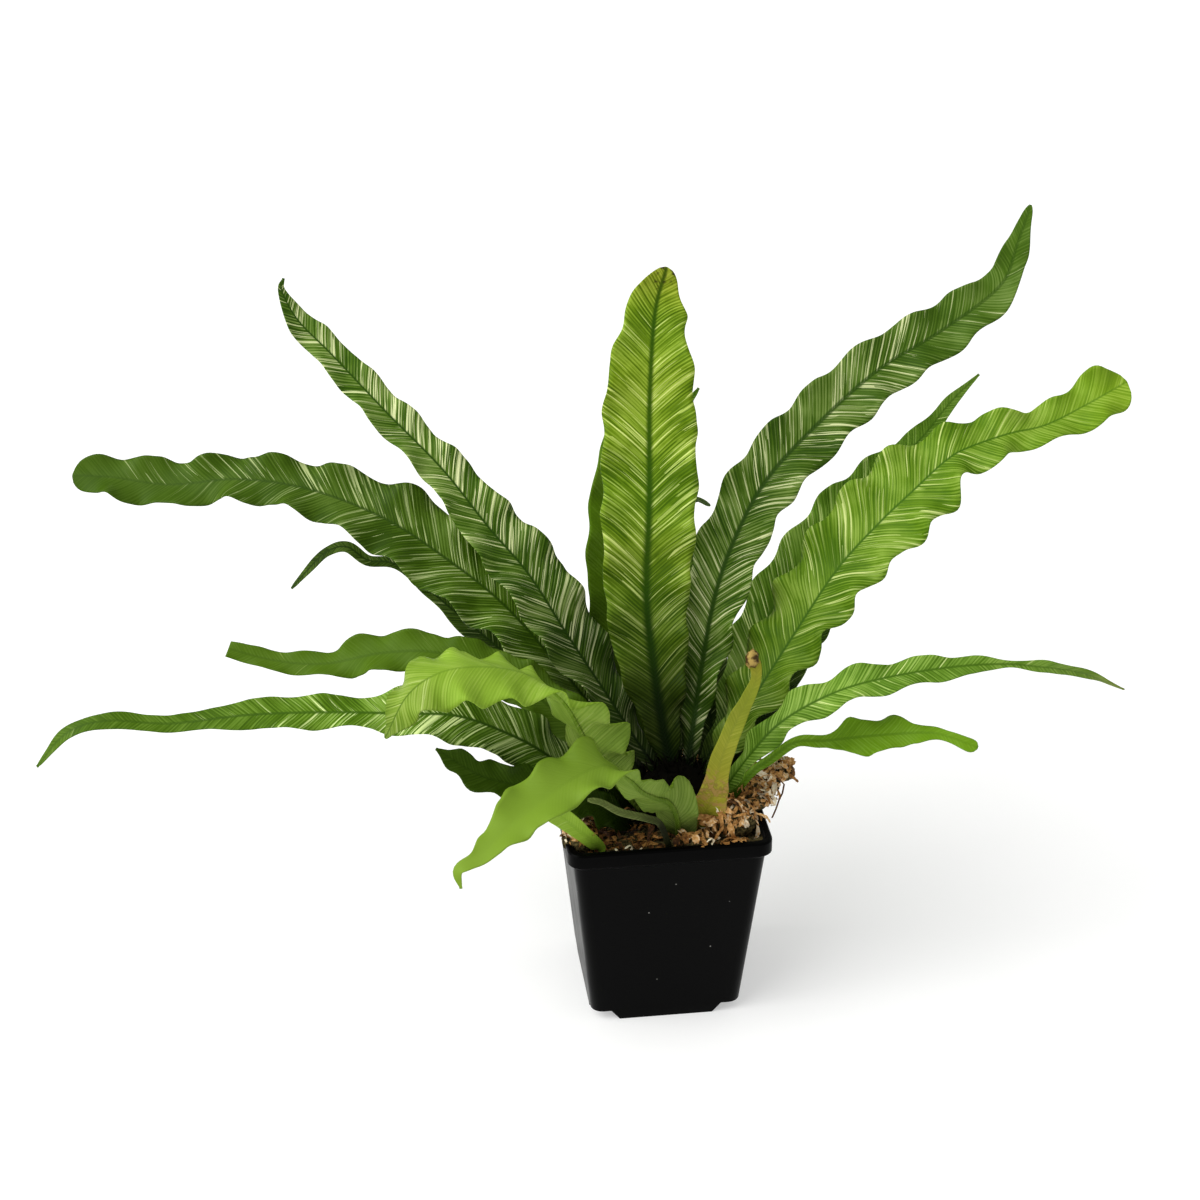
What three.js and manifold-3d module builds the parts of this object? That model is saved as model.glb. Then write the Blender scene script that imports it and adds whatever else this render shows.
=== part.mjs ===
// A birds nest fern with striped, wavy fronds, growing in a small square nursery pot.
// Millimetres, +Z up. The origin is on the surface, under the centre of the pot.
// +X is to the viewer's right and -Y is towards the viewer.
import * as THREE from "three";
import Module from "manifold-3d";

const wasm = await Module();
wasm.setup();

// Driving dimensions
const GAP = 0.3; // between pieces that touch

const RIM_WIDTH = 91; // the pot is a common 3.5 inch square one
const POT_HEIGHT = 96;
const POT_TURN = 7.5; // degrees, anticlockwise seen from above
const RIM_BAND = 6.5; // height of the thick band round the rim
const RIM_STEP = 2.4; // how far the band stands out from the side
const BASE_WIDTH = 67.5; // across the pot's sides, just above the foot
const WALL = 1.3;
const CORNER_RADIUS = 5.5;
const FOOT_SPAN = 42.5; // length of each straight edge that the pot stands on
const NOTCH_HEIGHT = 5; // how far the corners are raised off the surface
const DRAIN_HOLE = 6;
const DRAIN_DISTANCE = 39; // from the pot's middle to each hole, near its corners
const CORNER_STEPS = 5;

const MOSS_LEVEL = 91; // at the front, and the rest stands up to this much higher
const MOSS_RISE = 4;
const MOSS_LUMPS = 1.6;
const CROWN_CENTRE = [8, -4];
const CROWN_RADIUS = 18;
const CROWN_TOP = 113;
const CROWN_FOOT = 84;

const STIPE_WIDTH = 3.4;
const STIPE_THICK = 2.6;
const BLADE_THICK = 1;
const RIB_THICK = 2;
const STIPE_LENGTH = 26; // the stalk widens into the blade over this length
const STATION = 6.2; // spacing of the sections along a frond

// One entry for each frond. The route follows its rib from the crown to the tip, and the
// widths and the ways that the upper face looks are evenly spaced along it. The wave is how
// far the margins swing up and down, the length of one wave and where each margin starts.
// The fold is how far the blade rises from its rib for each unit out from it.
const FRONDS = [
  {
    name: "frond_left_high_arch",
    route: [[-3, 0, 103], [-17, 12, 118], [-44, 32, 145], [-70, 47, 170], [-99, 60, 189],
      [-126, 70, 203], [-159, 80, 212], [-192, 87, 214], [-225, 92, 209], [-253, 96, 211],
      [-271, 98, 211]],
    widths: [4, 14, 28, 38, 41, 37, 29, 24, 22, 23, 17],
    face: [[0.6, -0.4, 0.5], [0.3, -0.7, 0.7], [0.1, -0.7, 0.8]],
    wave: [3.8, 30, 0.1, 0.55],
    fold: [0.2],
    tip: 11,
    colour: "deep",
  },
  {
    name: "frond_left_upper",
    route: [[3, -3, 106], [-10, 8, 122], [-21, 16, 137], [-40, 32, 161], [-58, 45, 186],
      [-76, 56, 204], [-97, 69, 227], [-122, 80, 250], [-147, 91, 274], [-162, 97, 288],
      [-169, 100, 301], [-168, 100, 307]],
    widths: [4, 14, 26, 33, 34, 31, 24, 19, 18, 16, 13, 2],
    face: [[0.6, -0.5, 0.3], [0.4, -0.8, 0.4]],
    wave: [2.6, 27, 0.3, 0.7],
    fold: [0.2],
    tip: 4,
    colour: "striped",
  },
  {
    name: "frond_centre_upright",
    route: [[8, 0, 106], [4, 6, 120], [-1, 14, 149], [-5, 24, 184], [-4, 36, 227], [-4, 47, 270],
      [-2, 55, 307], [3, 58, 328]],
    widths: [4, 16, 28, 35, 38, 41, 42, 41, 37, 27, 12],
    face: [[0, -1, 0.1]],
    wave: [1.8, 25, 0.2, 0.6],
    fold: [0.2],
    tip: 8,
    colour: "lit",
  },
  {
    name: "frond_right_upper",
    route: [[13, 0, 106], [16, 9, 127], [20, 20, 153], [26, 33, 182], [35, 46, 204], [49, 58, 227],
      [72, 70, 249], [99, 82, 270], [129, 92, 286], [154, 99, 304], [161, 103, 322], [166, 105, 340]],
    widths: [4, 12, 22, 28, 30, 30, 30, 29, 27, 25, 21, 13, 4],
    face: [[-0.4, -0.8, 0.2], [-0.3, -0.9, 0.4]],
    wave: [3.4, 26, 0.05, 0.5],
    fold: [0.2],
    tip: 5,
    colour: "striped",
  },
  {
    name: "frond_right_bright",
    route: [[19, -4, 103], [33, 0, 127], [43, 8, 143], [60, 20, 167], [80, 32, 195], [99, 41, 214],
      [114, 47, 227], [128, 52, 239], [138, 55, 244], [156, 59, 249], [173, 62, 252], [191, 66, 260],
      [209, 69, 270]],
    widths: [4, 11, 20, 27, 32, 35, 37, 39, 41, 42, 40, 25, 24, 17, 18, 24, 21],
    face: [[-0.6, -0.5, 0.5], [-0.3, -0.8, 0.5]],
    wave: [4.8, 24, 0.15, 0.6],
    fold: [0.2],
    tip: 10,
    colour: "bright",
  },
  {
    name: "frond_right_behind",
    route: [[16, 4, 103], [28, 14, 118], [37, 28, 136], [47, 44, 156], [61, 58, 176], [85, 74, 203],
      [105, 84, 219], [122, 90, 234], [134, 94, 249], [147, 97, 262]],
    widths: [4, 11, 18, 24, 26, 26, 24, 20, 13, 7, 1.6],
    face: [[-0.5, -0.7, 0.4], [-0.3, -0.9, 0.4]],
    wave: [3.4, 25, 0.4, 0.9],
    fold: [0.2],
    tip: 4,
    colour: "mid",
  },
  {
    name: "frond_right_underside",
    route: [[24, 1, 96], [41, 4, 125], [55, 18, 136], [64, 36, 147], [75, 54, 154], [84, 70, 160],
      [90, 80, 166]],
    widths: [4, 8, 12, 13, 13, 10, 4],
    face: [[-0.5, -0.5, 0.7]],
    wave: [2.8, 25, 0.4, 0.9],
    fold: [0.2],
    tip: 6,
    colour: "deep",
  },
  {
    name: "frond_right_level",
    route: [[24, -9, 96], [41, -20, 131], [55, -19, 147], [77, -16, 159], [99, -12, 164],
      [127, -8, 167], [150, -5, 167], [168, -2, 164], [188, 1, 159], [207, 4, 149]],
    widths: [4, 9, 12, 14, 16, 16, 15, 12, 8, 3, 7, 6, 2],
    face: [[-0.4, -0.4, 0.8], [-0.1, -0.5, 0.9], [0, -0.5, 0.9], [0, -0.7, 0.2], [0, -0.5, -0.8]],
    wave: [3.4, 28, 0.54, 0.04],
    fold: [0.2],
    tip: 5,
    colour: "mid",
  },
  {
    name: "frond_right_short",
    route: [[22, -14, 87], [40, -9, 112], [49, -7, 119], [61, -6, 128], [74, -8, 130], [95, -14, 136],
      [117, -20, 141], [127, -24, 141], [139, -28, 138]],
    widths: [4, 4, 4, 4.5, 5, 6, 16, 18, 9, 5, 7],
    face: [[-0.3, -0.6, 0.8], [0, -0.6, 0.8]],
    wave: [2.6, 22, 0.3, 0.8],
    fold: [0.2],
    tip: 4,
    colour: "plain",
  },
  {
    name: "frond_left_cut",
    route: [[-10, -2, 88], [-27, -2, 115], [-39, 2, 132], [-57, 6, 147], [-79, 10, 159],
      [-102, 14, 163], [-124, 18, 160], [-150, 23, 152], [-173, 28, 151], [-194, 32, 155]],
    widths: [4, 13, 21, 24, 22, 18, 18, 19, 12, 10, 8],
    face: [[0.5, -0.5, 0.7], [0, -0.6, 0.8]],
    wave: [3.2, 26, 0.5, 0],
    fold: [0.2],
    tip: 0,
    colour: "plain",
  },
  {
    name: "frond_front_left_lime",
    route: [[-5, -13, 96], [-23, -22, 123], [-30, -29, 139], [-35, -34, 153], [-40, -39, 166],
      [-47, -44, 177], [-59, -51, 188], [-74, -59, 195], [-91, -67, 197], [-105, -74, 190],
      [-115, -77, 171]],
    widths: [4, 16, 28, 38, 38, 37, 36, 36, 34, 22, 5],
    face: [[0.5, 0.3, 0.7], [0.5, 0.7, 0.5], [0.5, 0.7, 0.5], [0.15, 0.2, 0.9], [-0.1, -0.2, 0.9], [-0.3, -0.4, 0.8], [-0.4, -0.4, 0.7]],
    wave: [3.4, 21, 0.2, 0.65],
    fold: [0.2, 0.35, 0.35, 0, -0.3, -0.3, -0.2],
    tip: 6,
    colour: "lime",
  },
  {
    name: "frond_left_low_long",
    route: [[-11, -9, 87], [-32, -18, 113], [-47, -20, 128], [-63, -22, 140], [-87, -25, 152],
      [-112, -28, 155], [-142, -32, 158], [-176, -36, 159], [-210, -40, 157], [-237, -43, 160],
      [-254, -45, 155], [-268, -46, 139]],
    widths: [4, 14, 22, 25, 29, 23, 14, 16, 13, 8, 8, 6, 2],
    face: [[0.4, -0.5, 0.7], [0, -0.6, 0.8]],
    wave: [2.8, 30, 0.35, 0.85],
    fold: [0.2],
    tip: 5,
    colour: "deep",
  },
  {
    name: "frond_left_low_shaded",
    route: [[-9, -15, 86], [-32, -32, 114], [-50, -40, 124], [-67, -44, 130], [-78, -46, 135],
      [-87, -46, 141], [-96, -46, 148]],
    widths: [4, 10, 16, 18, 19, 19, 17, 16, 15, 11, 2],
    face: [[0.1, -0.6, 0.8]],
    wave: [1.2, 16, 0.1, 0.5],
    fold: [0.2],
    tip: 3,
    colour: "deep",
  },
  {
    name: "frond_left_curl",
    route: [[-8, 5, 90], [-24, 30, 107], [-44, 46, 120], [-72, 66, 136], [-98, 80, 153],
      [-120, 90, 168], [-135, 94, 169], [-145, 98, 174], [-155, 101, 170], [-164, 103, 160],
      [-173, 104, 149]],
    widths: [4, 14, 22, 24, 22, 16, 8, 5, 6, 5, 2],
    face: [[0.4, -0.5, 0.7], [0.1, -0.5, 0.8]],
    wave: [2.4, 24, 0.6, 0.1],
    fold: [0.2],
    tip: 4,
    colour: "deep",
  },
  {
    name: "frond_front_droop",
    route: [[10, -23, 86], [8, -35, 107], [4, -40, 118], [-2, -46, 124], [-8, -52, 131],
      [-13, -57, 140], [-20, -62, 148], [-27, -68, 152], [-41, -79, 150], [-54, -90, 145],
      [-66, -100, 139], [-75, -108, 133], [-84, -112, 129], [-83, -114, 121]],
    widths: [6, 14, 20, 21, 19, 18, 23, 26, 26, 25, 21, 13, 6, 2],
    face: [[0.3, 0.9, 0], [0.2, 0.9, -0.1], [0.1, 0.9, -0.1], [0.1, 0.9, 0.2], [0.1, 0.2, 0.7], [0, -0.3, 0.9], [-0.1, -0.5, 0.9], [-0.2, -0.5, 0.8], [-0.3, -0.6, 0.8], [-0.3, -0.6, 0.8], [-0.3, -0.6, 0.8]],
    wave: [2.6, 22, 0.5, 0.1],
    fold: [0.2],
    tip: 5,
    colour: "lime",
  },
  {
    name: "frond_front_stub",
    route: [[-30, -36, 86], [-26, -38, 92], [-32, -43, 102], [-40, -50, 114], [-46, -57, 123]],
    widths: [4, 6, 7, 8, 9, 9],
    face: [[-0.2, -0.7, 0.6]],
    wave: [0.6, 20, 0, 0.5],
    fold: [0.2],
    tip: 0,
    colour: "lime",
  },
  {
    name: "frond_old_yellow",
    route: [[17, -19, 87], [23, -28, 111], [25, -31, 123], [27, -33, 135], [30, -34, 146],
      [34, -34, 157], [38, -33, 166], [41, -31, 173], [41, -30, 179], [39, -29, 184]],
    widths: [5, 12, 17, 13, 10, 9.5, 8.5, 8, 6, 4.5, 5.5],
    face: [[0, -1, 0.3]],
    wave: [1.2, 24, 0, 0.5],
    fold: [0.2],
    tip: 3,
    colour: "old",
  },
  {
    name: "frond_base_pale",
    route: [[7, -37, 85], [1, -44, 108], [-5, -46, 113], [-17, -47, 117], [-25, -49, 123],
      [-31, -50, 125]],
    widths: [3, 3, 3.6, 3.6, 2.6],
    face: [[0, -0.5, 0.9]],
    wave: [0.6, 18, 0, 0.5],
    fold: [0.2],
    tip: 3,
    colour: "pale",
  },
  {
    name: "frond_back_plain",
    route: [[3, 8, 103], [-6, 24, 109], [-12, 40, 129], [-18, 56, 157], [-20, 70, 191], [-18, 82, 221],
      [-12, 92, 249], [-8, 96, 263]],
    widths: [4, 13, 21, 25, 25, 23, 17, 7],
    face: [[0.2, -1, 0.2]],
    wave: [1.8, 27, 0, 0.5],
    fold: [0.2],
    tip: 5,
    colour: "plain",
  },
  {
    name: "frond_back_tip",
    route: [[10, 8, 103], [7, 20, 113], [5, 42, 154], [4, 60, 196], [4, 73, 225], [8, 82, 243],
      [19, 88, 259]],
    widths: [4, 14, 24, 28, 26, 18, 8, 2],
    face: [[0, -0.8, 0.5]],
    wave: [2.4, 26, 0.2, 0.7],
    fold: [0.2],
    tip: 4,
    colour: "mid",
  },
  {
    name: "frond_back_curl",
    route: [[20, 7, 97], [25, 24, 111], [23, 50, 134], [19, 88, 151], [13, 126, 160], [14, 152, 167],
      [21, 164, 168], [29, 170, 162]],
    widths: [4, 14, 22, 24, 20, 12, 5, 3],
    face: [[0, -0.5, 0.9]],
    wave: [2.8, 25, 0.5, 0],
    fold: [0.2],
    tip: 4,
    colour: "deep",
  },
  {
    name: "frond_back_low_left",
    route: [[0, 11, 96], [-4, 34, 109], [-7, 66, 131], [-9, 104, 143], [-10, 140, 146],
      [-11, 172, 131], [-11, 184, 116]],
    widths: [4, 14, 24, 28, 25, 18, 8, 3],
    face: [[0, -0.5, 0.9]],
    wave: [2.8, 26, 0.3, 0.8],
    fold: [0.2],
    tip: 5,
    colour: "mid",
  },
];

// Colour, roughness
const FINISHES = {
  deep: ["#47702b", 0.46],
  striped: ["#6f8f45", 0.46],
  lit: ["#86ab3e", 0.46],
  bright: ["#79a83a", 0.46],
  mid: ["#5c8c34", 0.46],
  plain: ["#5f9232", 0.46],
  lime: ["#82b236", 0.5],
  pale: ["#94a37c", 0.6],
  old: ["#98a53c", 0.55],
  pot: ["#121212", 0.42],
  moss: ["#a57f48", 0.95],
  crown: ["#3a2a1c", 0.9],
};

// A value or a vector between the evenly spaced ones of a list, on a smooth curve through them.
function along(list, u) {
  const last = list.length - 1;
  if (last === 0) return list[0];
  const at = Math.min(u * last, last - 1e-9);
  const i = Math.floor(at);
  const f = at - i;
  const ease = Array.isArray(list[0]) ? f : f * f * (3 - 2 * f);
  if (!Array.isArray(list[0])) return list[i] + (list[i + 1] - list[i]) * ease;
  return list[i].map((value, k) => value + (list[i + 1][k] - value) * ease);
}

// How far along a frond each section lies, from 0 to 1, closer together towards the tip
function stations(length) {
  const count = Math.max(6, Math.round(length / STATION));
  return Array.from({ length: count + 1 }, (_, i) => 1 - (1 - i / count) ** 1.2);
}

// The width of the blade at a place along it, which closes in a round end over the tip length.
function widthAt({ widths, tip }, u, length) {
  const width = along(widths, u);
  const left = length * (1 - u);
  if (left >= tip) return width;
  return Math.max(width * Math.sqrt(1 - (1 - left / tip) ** 2), 1.2);
}

// Six corners round the frond at each station: three across its upper face and three below.
// Growing it makes the room that it leaves in the crown and the moss.
function frondRings(frond, grow) {
  const curve = new THREE.CatmullRomCurve3(
    frond.route.map((p) => new THREE.Vector3(...p)),
    false,
    "catmullrom",
    0.5,
  );
  curve.arcLengthDivisions = 600;
  const length = curve.getLength();
  const [swing, pitch, startLeft, startRight] = frond.wave;
  return stations(length).map((u) => {
    const tangent = curve.getTangentAt(u);
    const point = curve.getPointAt(u).addScaledVector(tangent, u === 0 ? -grow : 0);
    const face = new THREE.Vector3(...along(frond.face, u));
    const up = face.addScaledVector(tangent, -face.dot(tangent)).normalize();
    const across = new THREE.Vector3().crossVectors(tangent, up);
    const width = widthAt(frond, u, length);
    const stipe = Math.max(0, 1 - (u * length) / STIPE_LENGTH);
    const flat = Math.min(1, Math.max(0, (width - STIPE_WIDTH) / 18));
    const turn = (2 * Math.PI * u * length) / pitch;
    const rise = (start) => swing * flat * Math.sin(turn + 2 * Math.PI * start);
    const edge = THREE.MathUtils.lerp(BLADE_THICK, STIPE_THICK * 0.5, stipe) + 2 * grow;
    const rib = THREE.MathUtils.lerp(RIB_THICK, STIPE_THICK, stipe) - (1 - stipe) * 0.6 * u + 2 * grow;
    const trough = (along(frond.fold, u) * flat * width) / 2;
    const reach = (start) => width / 2 + 0.3 * rise(start + 0.25) + grow;
    const halfLeft = reach(startLeft);
    const halfRight = reach(startRight);
    const corner = (side, height) =>
      point.clone().addScaledVector(across, side).addScaledVector(up, height + grow);
    const left = trough + rise(startLeft);
    const right = trough + rise(startRight);
    return [
      corner(-halfLeft, left),
      corner(0, 0),
      corner(halfRight, right),
      corner(halfRight, right - edge),
      corner(0, -rib),
      corner(-halfLeft, left - edge),
    ];
  });
}

// Joins rings of points that have the same count into one closed surface.
function loft(rings) {
  const count = rings[0].length;
  const positions = rings.flat().flatMap((p) => [p.x, p.y, p.z]);
  const index = [];
  for (let i = 0; i + 1 < rings.length; i++) {
    for (let k = 0; k < count; k++) {
      const a = i * count + k;
      const b = i * count + ((k + 1) % count);
      const c = a + count;
      const d = b + count;
      // The lower face splits the way that the upper one above it does
      if (count === 6 && k !== 1 && k !== 4) index.push(a, b, c, b, d, c);
      else index.push(a, b, d, a, d, c);
    }
  }
  const top = (rings.length - 1) * count;
  for (let k = 1; k + 1 < count; k++) {
    index.push(0, k + 1, k);
    index.push(top, top + k, top + k + 1);
  }
  const geometry = new THREE.BufferGeometry();
  geometry.setAttribute("position", new THREE.Float32BufferAttribute(positions, 3));
  geometry.setIndex(index);
  return geometry;
}

// A closed surface as a solid that can be joined and cut
function solid(geometry) {
  return new wasm.Manifold(
    new wasm.Mesh({
      numProp: 3,
      vertProperties: new Float32Array(geometry.getAttribute("position").array),
      triVerts: new Uint32Array(geometry.index.array),
    }),
  );
}

function geometryOf(body) {
  const mesh = body.getMesh();
  const geometry = new THREE.BufferGeometry();
  geometry.setAttribute("position", new THREE.BufferAttribute(mesh.vertProperties, 3));
  geometry.setIndex(new THREE.BufferAttribute(mesh.triVerts, 1));
  return geometry;
}

// A rounded square of the pot at one height, turned as the pot is.
function squareRing(half, radius, z) {
  const turn = THREE.MathUtils.degToRad(POT_TURN);
  const up = new THREE.Vector3(0, 0, 1);
  const ring = [];
  for (let corner = 0; corner < 4; corner++) {
    const middle = Math.PI / 4 + (corner * Math.PI) / 2;
    const cx = Math.sign(Math.cos(middle)) * (half - radius);
    const cy = Math.sign(Math.sin(middle)) * (half - radius);
    for (let i = 0; i <= CORNER_STEPS; i++) {
      const angle = middle + Math.PI * (i / CORNER_STEPS / 2 - 1 / 4);
      const point = new THREE.Vector3(cx + radius * Math.cos(angle), cy + radius * Math.sin(angle), z);
      ring.push(point.applyAxisAngle(up, turn));
    }
  }
  return ring;
}

// Half the width of the pot's side at a height, measured to its outer face.
function sideAt(z) {
  return THREE.MathUtils.lerp(BASE_WIDTH / 2, RIM_WIDTH / 2 - RIM_STEP, z / (POT_HEIGHT - RIM_BAND));
}

// Everything within the pot's sides between two heights, drawn in by an inset.
function potBlock(from, to, inset) {
  const radius = Math.max(CORNER_RADIUS - inset, 1.5);
  return solid(loft([from, to].map((z) => squareRing(sideAt(z) - inset, radius, z))));
}

// The four raised corners under the pot, made larger by grow on every side.
function notches(grow) {
  const inner = FOOT_SPAN / 2 - grow;
  const outer = BASE_WIDTH;
  const height = NOTCH_HEIGHT + grow;
  const slope = NOTCH_HEIGHT * 0.8;
  const turn = THREE.MathUtils.degToRad(POT_TURN);
  const ring = (near, z) =>
    [[near, near], [outer, near], [outer, outer], [near, outer]].map(
      ([x, y]) => new THREE.Vector3(x, y, z),
    );
  let all = null;
  for (let corner = 0; corner < 4; corner++) {
    const block = loft([ring(inner, -height), ring(inner, 0), ring(inner + slope, height)]);
    block.rotateZ(turn + (corner * Math.PI) / 2);
    const body = solid(block);
    all = all ? all.add(body) : body;
  }
  return all;
}

function makePot() {
  const bandFoot = POT_HEIGHT - RIM_BAND;
  const band = solid(
    loft([
      squareRing(sideAt(bandFoot), CORNER_RADIUS, bandFoot - RIM_STEP),
      squareRing(RIM_WIDTH / 2, CORNER_RADIUS + 1, bandFoot),
      squareRing(RIM_WIDTH / 2, CORNER_RADIUS + 1, POT_HEIGHT - 0.8),
      squareRing(RIM_WIDTH / 2 - 0.6, CORNER_RADIUS + 0.4, POT_HEIGHT),
    ]),
  );
  const hollow = potBlock(WALL + 0.2, POT_HEIGHT + 4, WALL).subtract(notches(WALL));
  let pot = potBlock(0, bandFoot, 0).add(band).subtract(notches(0)).subtract(hollow);
  const turn = THREE.MathUtils.degToRad(POT_TURN);
  for (let corner = 0; corner < 4; corner++) {
    const hole = new THREE.CylinderGeometry(DRAIN_HOLE / 2, DRAIN_HOLE / 2, 2 * DRAIN_HOLE, 20);
    hole.rotateX(Math.PI / 2);
    const angle = turn + Math.PI / 4 + (corner * Math.PI) / 2;
    hole.translate(DRAIN_DISTANCE * Math.cos(angle), DRAIN_DISTANCE * Math.sin(angle), DRAIN_HOLE);
    pot = pot.subtract(solid(welded(hole)));
  }
  return pot;
}

// Merges points of a three.js shape that lie in one place, so that it closes.
function welded(geometry) {
  const position = geometry.getAttribute("position");
  const seen = new Map();
  const points = [];
  const rename = [];
  for (let i = 0; i < position.count; i++) {
    const p = [position.getX(i), position.getY(i), position.getZ(i)];
    const key = p.map((v) => v.toFixed(3)).join();
    if (!seen.has(key)) {
      seen.set(key, points.length / 3);
      points.push(...p);
    }
    rename.push(seen.get(key));
  }
  const index = [];
  const old = geometry.index ? geometry.index.array : rename.map((_, i) => i);
  for (let i = 0; i < old.length; i += 3) {
    const [a, b, c] = [rename[old[i]], rename[old[i + 1]], rename[old[i + 2]]];
    if (a !== b && b !== c && c !== a) index.push(a, b, c);
  }
  const closed = new THREE.BufferGeometry();
  closed.setAttribute("position", new THREE.Float32BufferAttribute(points, 3));
  closed.setIndex(index);
  return closed;
}

// Clumps of moss that stand above the filling or hang over the rim: centre and radii
const CLUMPS = [
  { centre: [33, -22, 97], radii: [11, 9, 8] },
  { centre: [42, -5, 100], radii: [9, 10, 7] },
  { centre: [47, 8, 100], radii: [10, 9, 6] },
  { centre: [54.5, 14, 101.5], radii: [7.5, 7, 5] },
  { centre: [-35, -36, 96], radii: [8, 7, 5] },
  { centre: [14, -36, 93], radii: [10, 6, 5] },
  { centre: [-22, 25, 93], radii: [14, 11, 8] },
  { centre: [14, 31, 94], radii: [15, 9, 8] },
];

// A lumpy number from -1 to 1 for a place
function lump(x, y, z) {
  return (Math.sin(x * 0.9 + 2.1 * z) + Math.sin(y * 1.1 - 1.3 * x) + Math.sin(z * 1.3 + 0.5 * x + y)) / 3;
}

// Everything under the moss's uneven top, which rises towards the back and the right
function underMossTop() {
  const size = 100;
  const cells = 25;
  const depth = 200;
  const block = new THREE.BoxGeometry(size, size, depth, cells, cells, 1);
  block.translate(0, 0, MOSS_LEVEL - depth / 2);
  const position = block.getAttribute("position");
  for (let i = 0; i < position.count; i++) {
    const [x, y, z] = [position.getX(i), position.getY(i), position.getZ(i)];
    if (z < MOSS_LEVEL - 1) continue;
    const slope = MOSS_RISE * THREE.MathUtils.clamp((x + y) / size + 0.3, 0, 1);
    position.setZ(i, z + slope + MOSS_LUMPS * lump(x * 0.32, y * 0.32, 0));
  }
  return solid(welded(block));
}

function makeClump({ centre, radii }) {
  const ball = new THREE.IcosahedronGeometry(1, 3);
  const position = ball.getAttribute("position");
  for (let i = 0; i < position.count; i++) {
    const place = [position.getX(i), position.getY(i), position.getZ(i)];
    const swell = 1 + 0.15 * lump(...place.map((value, k) => value * 4 + centre[k]));
    position.setXYZ(i, ...place.map((value, k) => centre[k] + value * radii[k] * swell));
  }
  return solid(welded(ball));
}

// The pot's rim and the room that the moss leaves round it
function rimRoom() {
  const over = POT_HEIGHT + GAP;
  const low = POT_HEIGHT / 2;
  const outer = RIM_WIDTH / 2 + GAP;
  const block = solid(loft([low, over].map((z) => squareRing(outer, CORNER_RADIUS, z))));
  return block.subtract(potBlock(low - 1, over + 1, WALL + GAP));
}

function makeMoss() {
  let moss = potBlock(WALL + 0.2 + GAP, MOSS_LEVEL + 20, WALL + GAP).subtract(notches(WALL + GAP));
  moss = moss.intersect(underMossTop());
  for (const clump of CLUMPS) moss = moss.add(makeClump(clump));
  return moss.subtract(rimRoom());
}

function makeCrown(grow) {
  const profile = [
    [0, CROWN_FOOT - grow],
    [CROWN_RADIUS * 0.7 + grow, CROWN_FOOT - grow],
    [CROWN_RADIUS + grow, CROWN_FOOT + 8],
    [CROWN_RADIUS + grow, CROWN_FOOT + 16],
    [CROWN_RADIUS * 0.75 + grow, CROWN_TOP - 4],
    [CROWN_RADIUS * 0.35 + grow, CROWN_TOP + grow],
    [0, CROWN_TOP + 0.5 + grow],
  ];
  const shape = new THREE.LatheGeometry(profile.map(([r, z]) => new THREE.Vector2(r, z)), 28);
  shape.rotateX(Math.PI / 2);
  shape.translate(CROWN_CENTRE[0], CROWN_CENTRE[1], 0);
  return solid(welded(shape));
}

const fronds = FRONDS.map((frond) => ({ ...frond, body: solid(loft(frondRings(frond, 0))) }));
const clearances = FRONDS.map((frond) => solid(loft(frondRings(frond, GAP))));

let crown = makeCrown(0);
let moss = makeMoss().subtract(makeCrown(GAP));
for (const room of clearances) {
  crown = crown.subtract(room);
  moss = moss.subtract(room);
}
const pot = makePot();

const group = new THREE.Group();

function add(name, body, [colour, roughness]) {
  const material = new THREE.MeshStandardMaterial({ color: colour, roughness, metalness: 0 });
  const mesh = new THREE.Mesh(geometryOf(body), material);
  mesh.name = name;
  group.add(mesh);
}

add("pot", pot, FINISHES.pot);
add("moss", moss, FINISHES.moss);
add("crown", crown, FINISHES.crown);
for (const { name, body, colour } of fronds) add(name, body, FINISHES[colour]);

export default group;
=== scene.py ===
# A birds nest fern with striped, wavy fronds, growing in a small square nursery pot.
import bisect
import math
import random

import bmesh
import bpy
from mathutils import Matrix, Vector, noise


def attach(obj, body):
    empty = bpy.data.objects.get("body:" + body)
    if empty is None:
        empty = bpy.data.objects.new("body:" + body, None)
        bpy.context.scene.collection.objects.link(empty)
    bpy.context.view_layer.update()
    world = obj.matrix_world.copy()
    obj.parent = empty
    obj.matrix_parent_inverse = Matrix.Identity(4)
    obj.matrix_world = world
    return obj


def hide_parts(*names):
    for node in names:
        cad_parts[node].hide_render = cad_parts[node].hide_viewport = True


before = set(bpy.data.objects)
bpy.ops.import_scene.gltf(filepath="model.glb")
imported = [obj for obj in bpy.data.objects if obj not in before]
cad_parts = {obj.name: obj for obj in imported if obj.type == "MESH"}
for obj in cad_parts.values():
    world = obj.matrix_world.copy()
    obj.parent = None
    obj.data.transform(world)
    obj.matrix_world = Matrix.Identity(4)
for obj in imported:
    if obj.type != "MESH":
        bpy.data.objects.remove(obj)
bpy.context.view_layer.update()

MM = 0.001


# Studio
# The plant stands on a wide sheet of white paper, under soft boxes from the left and above, and is
# seen from a little above, as a shop photograph shows it.
def linear(hex_colour):
    parts = [int(hex_colour[i : i + 2], 16) / 255 for i in (1, 3, 5)]
    return [c / 12.92 if c <= 0.04045 else ((c + 0.055) / 1.055) ** 2.4 for c in parts] + [1.0]


def add(tree, kind, sockets=None, **settings):
    made = tree.nodes.new(kind)
    for name, value in settings.items():
        setattr(made, name, value)
    for name, value in (sockets or {}).items():
        if isinstance(value, bpy.types.NodeSocket):
            tree.links.new(value, made.inputs[name])
        else:
            made.inputs[name].default_value = value
    return made


def new_material(name):
    material = bpy.data.materials.new(name)
    material.use_nodes = True
    return material, material.node_tree, material.node_tree.nodes["Principled BSDF"]


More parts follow.
